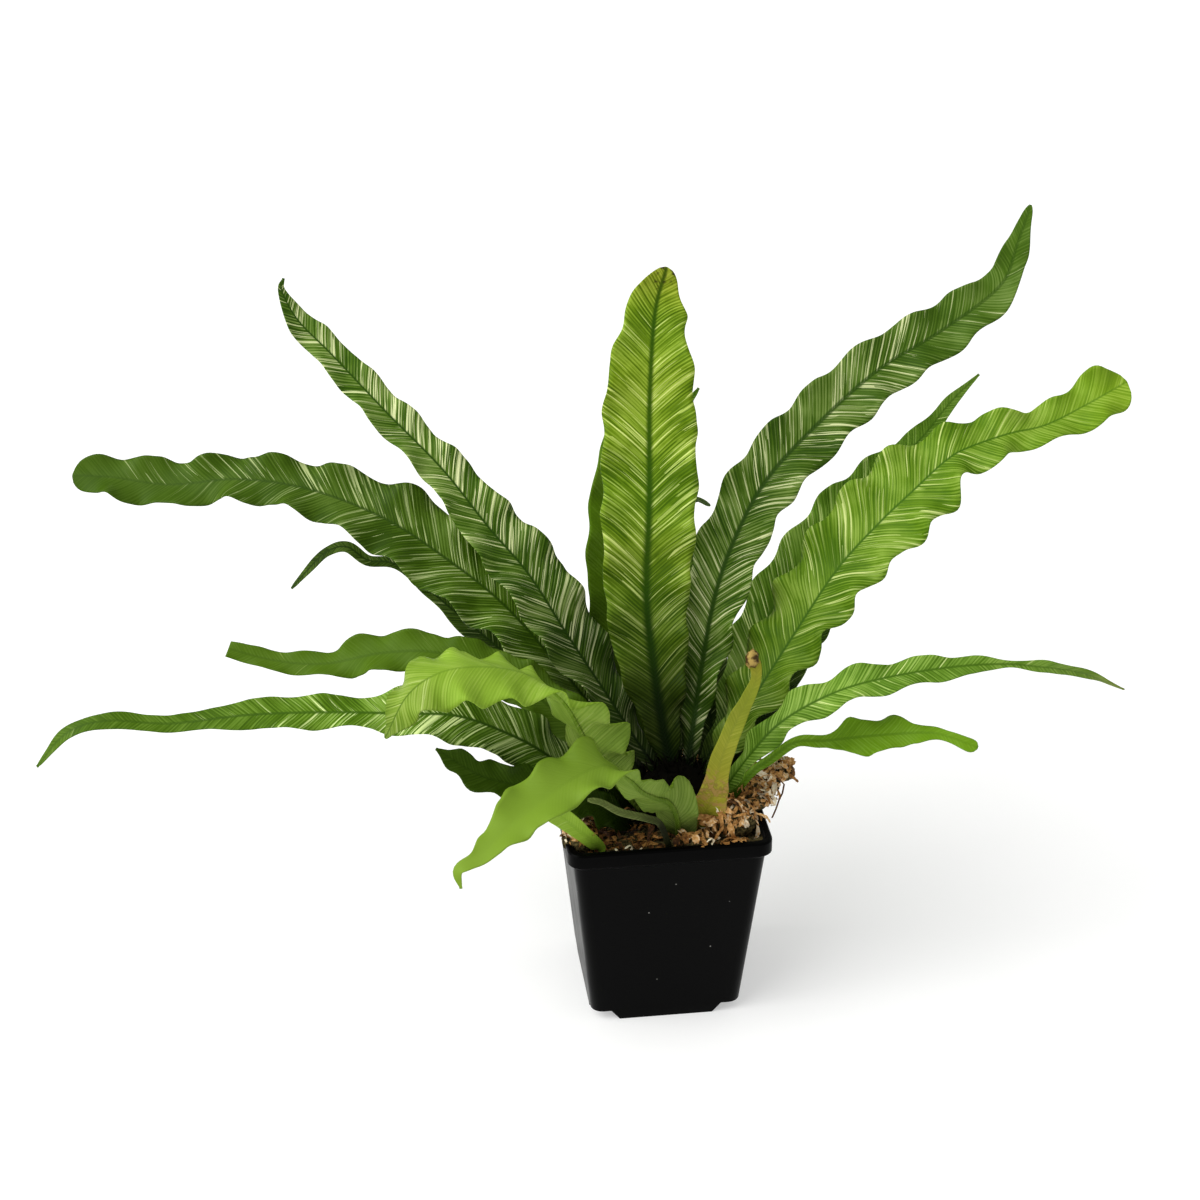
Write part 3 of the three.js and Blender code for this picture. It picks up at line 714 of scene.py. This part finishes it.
def frond_station(frond, line, u):
    """The place, directions and width of a frond at u, and how much of its wave it has there."""
    point, tangent = line.at(u)
    face = Vector(along_list(frond["face"], u))
    up = (face - face.dot(tangent) * tangent).normalized()
    across = tangent.cross(up)
    width = along_list(frond["widths"], u)
    left = line.length * (1 - u)
    if left < frond["tip"]:
        width = max(width * math.sqrt(1 - (1 - left / frond["tip"]) ** 2), NARROWEST)
    return point, up, across, width, share(width, STIPE_WIDTH, WAVY_FROM_STIPE)


def unevenness(run, patch, row, side):
    """A number from -1 to 1 that changes along a frond about every patch mm, row by row."""
    return noise.noise(Vector((run / patch, row, side)))


# The painted shade at its darkest, where a frond's light is 0
DARKEST_PAINTED_SHADE = 0.06
FROND_APART = 1000
HALF_APART = 500


def make_frond(index, frond):
    name = frond["name"]
    line = RibLine(frond["route"])
    swing, pitch, start_left, start_right = frond["wave"]
    cream_left, cream_right = frond.get("cream", ([0], [0]))
    crimp = frond.get("crimp", 0.8)
    scallop = frond.get("scallop", 0.3)
    bm = bmesh.new()
    uv_layer = bm.loops.layers.uv.new("veins")
    layers = {n: bm.verts.layers.float.new(n) for n in LEAF_ATTRIBUTES}
    stations = round(line.length / STATION)
    blade = bmesh.ops.create_grid(bm, x_segments=ACROSS, y_segments=stations, size=0.5)["verts"]
    rib = bmesh.ops.create_grid(bm, x_segments=RIB_SIDES, y_segments=stations, size=0.5)["verts"]
    rows = {}
    for is_rib, verts in ((False, blade), (True, rib)):
        for vert in verts:
            rows.setdefault(round((vert.co.y + 0.5) * stations), []).append((is_rib, vert))
    place = {}
    for row, members in rows.items():
        u = 1 - (1 - row / stations) ** TIP_CROWDING
        point, up, across, width, wavy = frond_station(frond, line, u)
        run = u * line.length
        trough = along_list(frond.get("fold", [0.2]), u) * wavy * width / 2
        rib_half = (RIB_BASE + (RIB_TIP - RIB_BASE) * u**0.7) * min(1, width / RIB_FULL_WIDTH)
        lively = 0.95 + 0.7 * unevenness(run, 30, index * 5.3, 1.7)
        values = {
            "light": DARKEST_PAINTED_SHADE + (1 - DARKEST_PAINTED_SHADE) * along_list(frond["light"], u),
            "ageing": along_list(frond.get("ageing", [0]), u),
            "veined": along_list(frond.get("veined", [1]), u),
            "rib": rib_half * frond.get("midrib", 1),
        }
        for is_rib, vert in members:
            t = vert.co.x * 2
            if is_rib:
                angle = math.pi * (0.5 - t)
                height = math.sin(angle) * rib_half - RIB_SUNK * rib_half - RIB_BELOW
                side = math.cos(angle) * rib_half
                vert.co = (point + across * side + up * height) * MM
            else:
                # The fold starts at the rib, the wave further out, and the crimp only at the margin
                turn = 2 * math.pi * (run / pitch + (start_right if t > 0 else start_left))
                wave = swing * wavy * math.sin(turn) * lively
                pucker = unevenness(run, 7, index * 9.1, math.copysign(3, t))
                small = crimp * wavy * CRIMP_HEIGHT * pucker
                height = trough * abs(t) ** 1.25 + wave * abs(t) ** 1.7 + small * abs(t) ** 3
                ragged = 1 + 0.05 * unevenness(run, 9, index * 3.1, math.copysign(4, t))
                reach = width / 2 * ragged + scallop * swing * wavy * math.cos(turn)
                side = t * max(reach, 0.3)
                vert.co = (point + across * side + up * height) * MM
            place[vert] = (run - VEIN_SLOPE * abs(side) + VEIN_BEND * side**2, side)
            values["cream"] = along_list(cream_right if t > 0 else cream_left, u)
            for attribute, value in values.items():
                vert[layers[attribute]] = value
    # Each half of each frond has its own stretch of the pattern
    for face in bm.faces:
        face.smooth = True
        half = HALF_APART if sum(place[v][1] for v in face.verts) > 0 else 0
        for loop in face.loops:
            along, across = place[loop.vert]
            loop[uv_layer].uv = (along + FROND_APART * index + half, across)
    bmesh.ops.remove_doubles(bm, verts=rib, dist=0.001 * MM)
    leaf = frond["leaf"]
    skins = []
    for under, prefix in ((False, ""), (True, "underside of ")):
        title = prefix + leaf + " fern leaf"
        skins.append(bpy.data.materials.get(title) or leaf_material(title, LEAVES[leaf], under))
    piece = new_piece(name + "_leaf", bm, *skins)
    shell = piece.modifiers.new("thickness", "SOLIDIFY")
    shell.thickness = BLADE_THICK
    shell.offset = -1
    shell.material_offset = 1
    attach(piece, "root")
    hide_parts(name)


# Each frond, from its foot to its tip. Most values are lists that are spread evenly along it.
#   leaf     the kind of leaf, which gives its colours
#   route    the points that its midrib passes, in mm
#   widths   of the blade, in mm
#   face     the direction that its upper side looks in
#   wave     of the margins: height and length in mm, and where in it the left and right ones start
#   tip      the mm over which its end is rounded off, and 0 where it was cut
#   fold     how far the halves stand up from the rib, in half widths, else 0.2
#   light    its painted light and shade, from 0 for nearly black to more than 1 where brightly lit
#   cream    how much green its left and right halves lack, else none
#   veined   how clearly its veins show through the wax, else fully
#   ageing   from 0 for green over yellow to dead, else 0
#   crimp    how much its margins are crimped, else 0.8
#   scallop  how far its margins go out and in with the wave, else 0.3
#   midrib   how many times as wide as usual the midrib's dark band is
FRONDS = [
    {
        "name": "frond_left_high_arch",
        "leaf": "deep",
        "route": [
            (-3, 0, 103), (-17, 12, 118), (-44, 32, 145), (-70, 47, 170), (-99, 60, 189),
            (-126, 70, 203), (-159, 80, 212), (-192, 87, 214), (-225, 92, 209), (-253, 96, 211),
            (-271, 98, 211),
        ],
        "widths": [4, 14, 28, 38, 41, 37, 29, 24, 22, 23, 17],
        "face": [[0.6, -0.4, 0.5], [0.3, -0.7, 0.7], [0.1, -0.7, 0.8]],
        "wave": [3.8, 30, 0.1, 0.55],
        "tip": 11,
        "light": [0, 0.55, 1.05, 0.8, 0.68, 0.7, 0.7, 0.7],
        "cream": (
            [0.3, 0.45, 0.5, 0.4, 0.35, 0.3, 0.25, 0.1, 0],
            [0.3, 0.4, 0.5, 0.5, 0.5, 0.5, 0.45, 0.25, 0],
        ),
        "veined": [1, 1, 1, 0.9, 0.7, 0.5, 0.3, 0.25],
    },
    {
        "name": "frond_left_upper",
        "leaf": "striped",
        "route": [
            (3, -3, 106), (-10, 8, 122), (-21, 16, 137), (-40, 32, 161), (-58, 45, 186),
            (-76, 56, 204), (-97, 69, 227), (-122, 80, 250), (-147, 91, 274), (-162, 97, 288),
            (-169, 100, 301), (-168, 100, 307),
        ],
        "widths": [4, 14, 26, 33, 34, 31, 24, 19, 18, 16, 13, 2],
        "face": [[0.6, -0.5, 0.3], [0.4, -0.8, 0.4]],
        "wave": [2.6, 27, 0.3, 0.7],
        "tip": 4,
        "light": [0, 0.35, 0.8, 0.95, 1, 0.85],
        "cream": ([0.3, 0.45, 0.45, 0.4, 0.4, 0.3], [0.35, 0.5, 0.55, 0.6, 0.6, 0.5]),
    },
    {
        "name": "frond_centre_upright",
        "leaf": "lit",
        "route": [
            (8, 0, 106), (4, 6, 120), (-1, 14, 149), (-5, 24, 184), (-4, 36, 227), (-4, 47, 270),
            (-2, 55, 307), (3, 58, 328),
        ],
        "widths": [4, 16, 28, 35, 38, 41, 42, 41, 37, 27, 12],
        "face": [[0, -1, 0.1]],
        "wave": [1.8, 25, 0.2, 0.6],
        "tip": 8,
        "light": [0, 0.05, 0.34, 0.72, 0.95, 1, 1, 0.95],
        "cream": (
            [0.2, 0.35, 0.4, 0.5, 0.5, 0.45, 0.3, 0],
            [0.2, 0.4, 0.4, 0.5, 0.5, 0.45, 0.35, 0],
        ),
        "ageing": [0, 0, 0, 0, 0.12, 0.04, 0.12, 0.18, 0.08, 0.5],
    },
    {
        "name": "frond_right_upper",
        "leaf": "striped",
        "route": [
            (13, 0, 106), (16, 9, 127), (20, 20, 153), (26, 33, 182), (35, 46, 204), (49, 58, 227),
            (72, 70, 249), (99, 82, 270), (129, 92, 286), (154, 99, 304), (161, 103, 322),
            (166, 105, 340),
        ],
        "widths": [4, 12, 22, 28, 30, 30, 30, 29, 27, 25, 21, 13, 4],
        "face": [[-0.4, -0.8, 0.2], [-0.3, -0.9, 0.4]],
        "wave": [3.4, 26, 0.05, 0.5],
        "tip": 5,
        "light": [0, 0.56, 0.86, 0.8, 0.76, 0.76, 0.8, 0.84],
        "cream": (
            [0.4, 0.5, 0.5, 0.45, 0.4, 0.4, 0.35, 0.2, 0],
            [0.4, 0.6, 0.55, 0.5, 0.5, 0.5, 0.35, 0.2, 0],
        ),
        "veined": [1, 1, 1, 1, 0.9, 0.8, 0.7, 0.5, 0.4],
        "midrib": 2,
    },
    {
        "name": "frond_right_bright",
        "leaf": "bright",
        "route": [
            (19, -4, 103), (33, 0, 127), (43, 8, 143), (60, 20, 167), (80, 32, 195), (99, 41, 214),
            (114, 47, 227), (128, 52, 239), (138, 55, 244), (156, 59, 249), (173, 62, 252),
            (191, 66, 260), (209, 69, 270),
        ],
        "widths": [4, 11, 20, 27, 32, 35, 37, 39, 41, 42, 40, 25, 24, 17, 18, 24, 21],
        "face": [[-0.6, -0.5, 0.5], [-0.3, -0.8, 0.5]],
        "wave": [4.8, 24, 0.15, 0.6],
        "tip": 10,
        "light": [0, 0.4, 0.7, 0.86, 0.95, 0.95, 1.1, 1.3],
        "cream": (
            [0.2, 0.25, 0.25, 0.3, 0.45, 0.5, 0.3, 0.1, 0],
            [0.3, 0.3, 0.3, 0.35, 0.45, 0.45, 0.3, 0.1, 0],
        ),
        "veined": [1, 1, 1, 1, 1, 1, 0.8, 0.5],
        "ageing": [0, 0, 0, 0, 0, 0, 0.05, 0.15],
        "crimp": 1.3,
    },
    {
        "name": "frond_right_behind",
        "leaf": "mid",
        "route": [
            (16, 4, 103), (28, 14, 118), (37, 28, 136), (47, 44, 156), (61, 58, 176), (85, 74, 203),
            (105, 84, 219), (122, 90, 234), (134, 94, 249), (147, 97, 262),
        ],
        "widths": [4, 11, 18, 24, 26, 26, 24, 20, 13, 7, 1.6],
        "face": [[-0.5, -0.7, 0.4], [-0.3, -0.9, 0.4]],
        "wave": [3.4, 25, 0.4, 0.9],
        "tip": 4,
        "light": [0.1, 0.8, 1.4, 1.45, 1.35, 1.2],
        "cream": ([0.2, 0.4, 0.5, 0.5, 0.4, 0.2, 0], [0.2, 0.4, 0.5, 0.5, 0.4, 0.2, 0]),
        "veined": [1, 1, 1, 1, 0.8, 0.5],
    },
    {
        "name": "frond_right_underside",
        "leaf": "deep",
        "route": [
            (24, 1, 96), (41, 4, 125), (55, 18, 136), (64, 36, 147), (75, 54, 154), (84, 70, 160),
            (90, 80, 166),
        ],
        "widths": [4, 8, 12, 13, 13, 10, 4],
        "face": [[-0.5, -0.5, 0.7]],
        "wave": [2.8, 25, 0.4, 0.9],
        "tip": 6,
        "light": [0, 0.4, 0.8, 0.8],
        "cream": ([0.1, 0.2, 0.2], [0.1, 0.2, 0.2]),
    },
    {
        "name": "frond_right_level",
        "leaf": "mid",
        "route": [
            (24, -9, 96), (41, -20, 131), (55, -19, 147), (77, -16, 159), (99, -12, 164),
            (127, -8, 167), (150, -5, 167), (168, -2, 164), (188, 1, 159), (207, 4, 149),
        ],
        "widths": [4, 9, 12, 14, 16, 16, 15, 12, 8, 3, 7, 6, 2],
        "face": [
            [-0.4, -0.4, 0.8], [-0.1, -0.5, 0.9], [0, -0.5, 0.9], [0, -0.7, 0.2], [0, -0.5, -0.8],
        ],
        "wave": [3.4, 28, 0.54, 0.04],
        "tip": 5,
        "light": [0, 0.9, 1.25, 1.15, 1.1, 1],
        "cream": ([0, 0.05, 0.2, 0.2, 0.15, 0.1, 0], [0, 0.1, 0.3, 0.25, 0.15, 0.1, 0]),
        "veined": [1, 1, 1, 1, 0.8, 0.5, 0.3],
        "ageing": [0, 0, 0, 0, 0, 0, 0, 0, 0.1, 0.5],
        "scallop": 0.6,
    },
    {
        "name": "frond_right_short",
        "leaf": "plain",
        "route": [
            (22, -14, 87), (40, -9, 112), (49, -7, 119), (61, -6, 128), (74, -8, 130),
            (95, -14, 136), (117, -20, 141), (127, -24, 141), (139, -28, 138),
        ],
        "widths": [4, 4, 4, 4.5, 5, 6, 16, 18, 9, 5, 7],
        "face": [[-0.3, -0.6, 0.8], [0, -0.6, 0.8]],
        "wave": [2.6, 22, 0.3, 0.8],
        "tip": 4,
        "light": [0.2, 1, 1.4, 1.25, 1.35],
        "veined": [0.5, 0.8, 0.6, 0.3],
        "crimp": 1.8,
        "scallop": 0.7,
    },
    {
        "name": "frond_left_cut",
        "leaf": "plain",
        "route": [
            (-10, -2, 88), (-27, -2, 115), (-39, 2, 132), (-57, 6, 147), (-79, 10, 159),
            (-102, 14, 163), (-124, 18, 160), (-150, 23, 152), (-173, 28, 151), (-194, 32, 155),
        ],
        "widths": [4, 13, 21, 24, 22, 18, 18, 19, 12, 10, 8],
        "face": [[0.5, -0.5, 0.7], [0, -0.6, 0.8]],
        "wave": [3.2, 26, 0.5, 0],
        "tip": 0,
        "light": [0, 0.46, 0.6, 0.6],
        "cream": ([0.2, 0.15, 0.1, 0.1], [0.2, 0.2, 0.1, 0.1]),
        "veined": [0.8, 0.7, 0.4, 0.4],
        "crimp": 1.4,
    },
    {
        "name": "frond_front_left_lime",
        "leaf": "lime",
        "route": [
            (-5, -13, 96), (-23, -22, 123), (-30, -29, 139), (-35, -34, 153), (-40, -39, 166),
            (-47, -44, 177), (-59, -51, 188), (-74, -59, 195), (-91, -67, 197), (-105, -74, 190),
            (-115, -77, 171),
        ],
        "widths": [4, 16, 28, 38, 38, 37, 36, 36, 34, 22, 5],
        "face": [
            [0.5, 0.3, 0.7], [0.5, 0.7, 0.5], [0.5, 0.7, 0.5], [0.15, 0.2, 0.9], [-0.1, -0.2, 0.9],
            [-0.3, -0.4, 0.8], [-0.4, -0.4, 0.7],
        ],
        "wave": [3.4, 21, 0.2, 0.65],
        "tip": 6,
        "fold": [0.2, 0.35, 0.35, 0, -0.3, -0.3, -0.2],
        "light": [0.2, 0.45, 0.6, 0.82, 1, 1.08, 1.1, 1.1, 0.75, 0.5],
        "cream": ([0.1, 0.2, 0.15, 0.1, 0.1, 0.4], [0.1, 0.2, 0.1, 0.1, 0.1, 0.4]),
        "veined": [1, 1, 0.9, 0.7, 0.5, 0.4, 0.4, 0.4, 0.9, 1],
        "crimp": 1.3,
    },
    {
        "name": "frond_left_low_long",
        "leaf": "deep",
        "route": [
            (-11, -9, 87), (-32, -18, 113), (-47, -20, 128), (-63, -22, 140), (-87, -25, 152),
            (-112, -28, 155), (-142, -32, 158), (-176, -36, 159), (-210, -40, 157),
            (-237, -43, 160), (-254, -45, 155), (-268, -46, 139),
        ],
        "widths": [4, 14, 22, 25, 29, 23, 14, 16, 13, 8, 8, 6, 2],
        "face": [[0.4, -0.5, 0.7], [0, -0.6, 0.8]],
        "wave": [2.8, 30, 0.35, 0.85],
        "tip": 5,
        "light": [0, 0.7, 1.55, 1.1, 0.95],
        "cream": ([0.4, 0.6, 0.6, 0.3, 0, 0], [0.4, 0.6, 0.5, 0.3, 0, 0]),
        "veined": [1, 1, 1, 0.8, 0.5, 0.4],
    },
    {
        "name": "frond_left_low_shaded",
        "leaf": "deep",
        "route": [
            (-9, -15, 86), (-32, -32, 114), (-50, -40, 124), (-67, -44, 130), (-78, -46, 135),
            (-87, -46, 141), (-96, -46, 148),
        ],
        "widths": [4, 10, 16, 18, 19, 19, 17, 16, 15, 11, 2],
        "face": [[0.1, -0.6, 0.8]],
        "wave": [1.2, 16, 0.1, 0.5],
        "tip": 3,
        "light": [0, 0.3, 0.45, 0.5],
        "veined": [0.3],
        "crimp": 2.6,
        "scallop": 2,
    },
    {
        "name": "frond_left_curl",
        "leaf": "deep",
        "route": [
            (-8, 5, 90), (-24, 30, 107), (-44, 46, 120), (-72, 66, 136), (-98, 80, 153),
            (-120, 90, 168), (-135, 94, 169), (-145, 98, 174), (-155, 101, 170), (-164, 103, 160),
            (-173, 104, 149),
        ],
        "widths": [4, 14, 22, 24, 22, 16, 8, 5, 6, 5, 2],
        "face": [[0.4, -0.5, 0.7], [0.1, -0.5, 0.8]],
        "wave": [2.4, 24, 0.6, 0.1],
        "tip": 4,
        "light": [0, 0.4, 0.6, 0.55],
        "cream": ([0.4, 0.5, 0.3, 0], [0.4, 0.5, 0.3, 0]),
    },
    {
        "name": "frond_front_droop",
        "leaf": "lime",
        "route": [
            (10, -23, 86), (8, -35, 107), (4, -40, 118), (-2, -46, 124), (-8, -52, 131),
            (-13, -57, 140), (-20, -62, 148), (-27, -68, 152), (-41, -79, 150), (-54, -90, 145),
            (-66, -100, 139), (-75, -108, 133), (-84, -112, 129), (-83, -114, 121),
        ],
        "widths": [6, 14, 20, 21, 19, 18, 23, 26, 26, 25, 21, 13, 6, 2],
        "face": [
            [0.3, 0.9, 0], [0.2, 0.9, -0.1], [0.1, 0.9, -0.1], [0.1, 0.9, 0.2], [0.1, 0.2, 0.7],
            [0, -0.3, 0.9], [-0.1, -0.5, 0.9], [-0.2, -0.5, 0.8], [-0.3, -0.6, 0.8],
            [-0.3, -0.6, 0.8], [-0.3, -0.6, 0.8],
        ],
        "wave": [2.6, 22, 0.5, 0.1],
        "tip": 5,
        "light": [0.25, 0.55, 0.7, 0.78, 0.8],
        "cream": ([-0.3], [-0.3]),
        "veined": [1, 0.7, 0.15, 0, 0],
        "crimp": 1.2,
    },
    {
        "name": "frond_front_stub",
        "leaf": "lime",
        "route": [
            (-30, -36, 86), (-26, -38, 92), (-32, -43, 102), (-40, -50, 114), (-46, -57, 123),
        ],
        "widths": [4, 6, 7, 8, 9, 9],
        "face": [[-0.2, -0.7, 0.6]],
        "wave": [0.6, 20, 0, 0.5],
        "tip": 0,
        "light": [0.7, 1.25, 1.3],
        "veined": [0.2],
    },
    {
        "name": "frond_old_yellow",
        "leaf": "old",
        "route": [
            (17, -19, 87), (23, -28, 111), (25, -31, 123), (27, -33, 135), (30, -34, 146),
            (34, -34, 157), (38, -33, 166), (41, -31, 173), (41, -30, 179), (39, -29, 184),
        ],
        "widths": [5, 12, 17, 13, 10, 9.5, 8.5, 8, 6, 4.5, 5.5],
        "face": [[0, -1, 0.3]],
        "wave": [1.2, 24, 0, 0.5],
        "tip": 3,
        "light": [0.8, 1.1, 0.9, 0.78, 0.75],
        "veined": [0.6, 0.3, 0.2],
        "ageing": [0.4, 0.4, 0.62, 0.3, 0.1, 0.05, 0.5],
    },
    {
        "name": "frond_base_pale",
        "leaf": "pale",
        "route": [
            (7, -37, 85), (1, -44, 108), (-5, -46, 113), (-17, -47, 117), (-25, -49, 123),
            (-31, -50, 125),
        ],
        "widths": [3, 3, 3.6, 3.6, 2.6],
        "face": [[0, -0.5, 0.9]],
        "wave": [0.6, 18, 0, 0.5],
        "tip": 3,
        "light": [0, 0, 0, 0, 0.35, 0.8, 0.9, 1, 1],
        "veined": [0.5],
    },
    {
        "name": "frond_back_plain",
        "leaf": "plain",
        "route": [
            (3, 8, 103), (-6, 24, 109), (-12, 40, 129), (-18, 56, 157), (-20, 70, 191),
            (-18, 82, 221), (-12, 92, 249), (-8, 96, 263),
        ],
        "widths": [4, 13, 21, 25, 25, 23, 17, 7],
        "face": [[0.2, -1, 0.2]],
        "wave": [1.8, 27, 0, 0.5],
        "tip": 5,
        "light": [0, 0.5, 0.85, 0.9],
        "veined": [0.6],
    },
    {
        "name": "frond_back_tip",
        "leaf": "mid",
        "route": [
            (10, 8, 103), (7, 20, 113), (5, 42, 154), (4, 60, 196), (4, 73, 225), (8, 82, 243),
            (19, 88, 259),
        ],
        "widths": [4, 14, 24, 28, 26, 18, 8, 2],
        "face": [[0, -0.8, 0.5]],
        "wave": [2.4, 26, 0.2, 0.7],
        "tip": 4,
        "light": [0, 0.5, 0.85, 0.9],
        "cream": ([0.4], [0.4]),
    },
    {
        "name": "frond_back_curl",
        "leaf": "deep",
        "route": [
            (20, 7, 97), (25, 24, 111), (23, 50, 134), (19, 88, 151), (13, 126, 160),
            (14, 152, 167), (21, 164, 168), (29, 170, 162),
        ],
        "widths": [4, 14, 22, 24, 20, 12, 5, 3],
        "face": [[0, -0.5, 0.9]],
        "wave": [2.8, 25, 0.5, 0],
        "tip": 4,
        "light": [0, 0.4, 0.7, 0.6],
        "cream": ([0.3, 0.5, 0.3], [0.3, 0.5, 0.3]),
    },
    {
        "name": "frond_back_low_left",
        "leaf": "mid",
        "route": [
            (0, 11, 96), (-4, 34, 109), (-7, 66, 131), (-9, 104, 143), (-10, 140, 146),
            (-11, 172, 131), (-11, 184, 116),
        ],
        "widths": [4, 14, 24, 28, 25, 18, 8, 3],
        "face": [[0, -0.5, 0.9]],
        "wave": [2.8, 26, 0.3, 0.8],
        "tip": 5,
        "light": [0, 0.5, 0.85, 0.9],
        "cream": ([0.4, 0.5, 0.3], [0.4, 0.5, 0.3]),
    },
]

for index, frond in enumerate(FRONDS):
    make_frond(index, frond)


# Withered tip
# The tip of the old frond has died before the rest of it, and has dried and rolled up into a small
# creased brown ball.
TIP_PLACE = Vector((39.3, -29.2, 182.5)) * MM
TIP_HALF = Vector((2.8, 2.4, 4.4)) * MM
TIP_CREASED = 0.35
TIP_CREASES = 4  # over its half size

withered, tree, shader = new_material("withered leaf tip")
# Dead leaf is pale tan; dark patches some 3 mm apart are painted shade for the creases it is rolled
# up in
place = add(tree, "ShaderNodeTexCoord").outputs["Object"]
painted_crease_shade = add(tree, "ShaderNodeTexNoise", {"Vector": place, "Scale": 350.0, "Detail": 3.0})
tint = add(tree, "ShaderNodeValToRGB", {"Fac": painted_crease_shade.outputs["Fac"]})
tint.color_ramp.elements[0].position = 0.4
tint.color_ramp.elements[0].color = linear("#3c2a0c")
tint.color_ramp.elements[1].position = 0.58
tint.color_ramp.elements[1].color = linear("#a88e4c")
tree.links.new(tint.outputs["Color"], shader.inputs["Base Color"])
shader.inputs["Roughness"].default_value = 0.7
shader.inputs["Specular IOR Level"].default_value = 0.15

bm = bmesh.new()
for vert in bmesh.ops.create_icosphere(bm, subdivisions=3, radius=1)["verts"]:
    wrinkle = noise.noise(vert.co * TIP_CREASES)
    vert.co = TIP_PLACE + vert.co * TIP_HALF * (1 + TIP_CREASED * wrinkle)
for face in bm.faces:
    face.smooth = True
tip = new_piece("old_frond_tip", bm, withered)
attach(tip, "root")
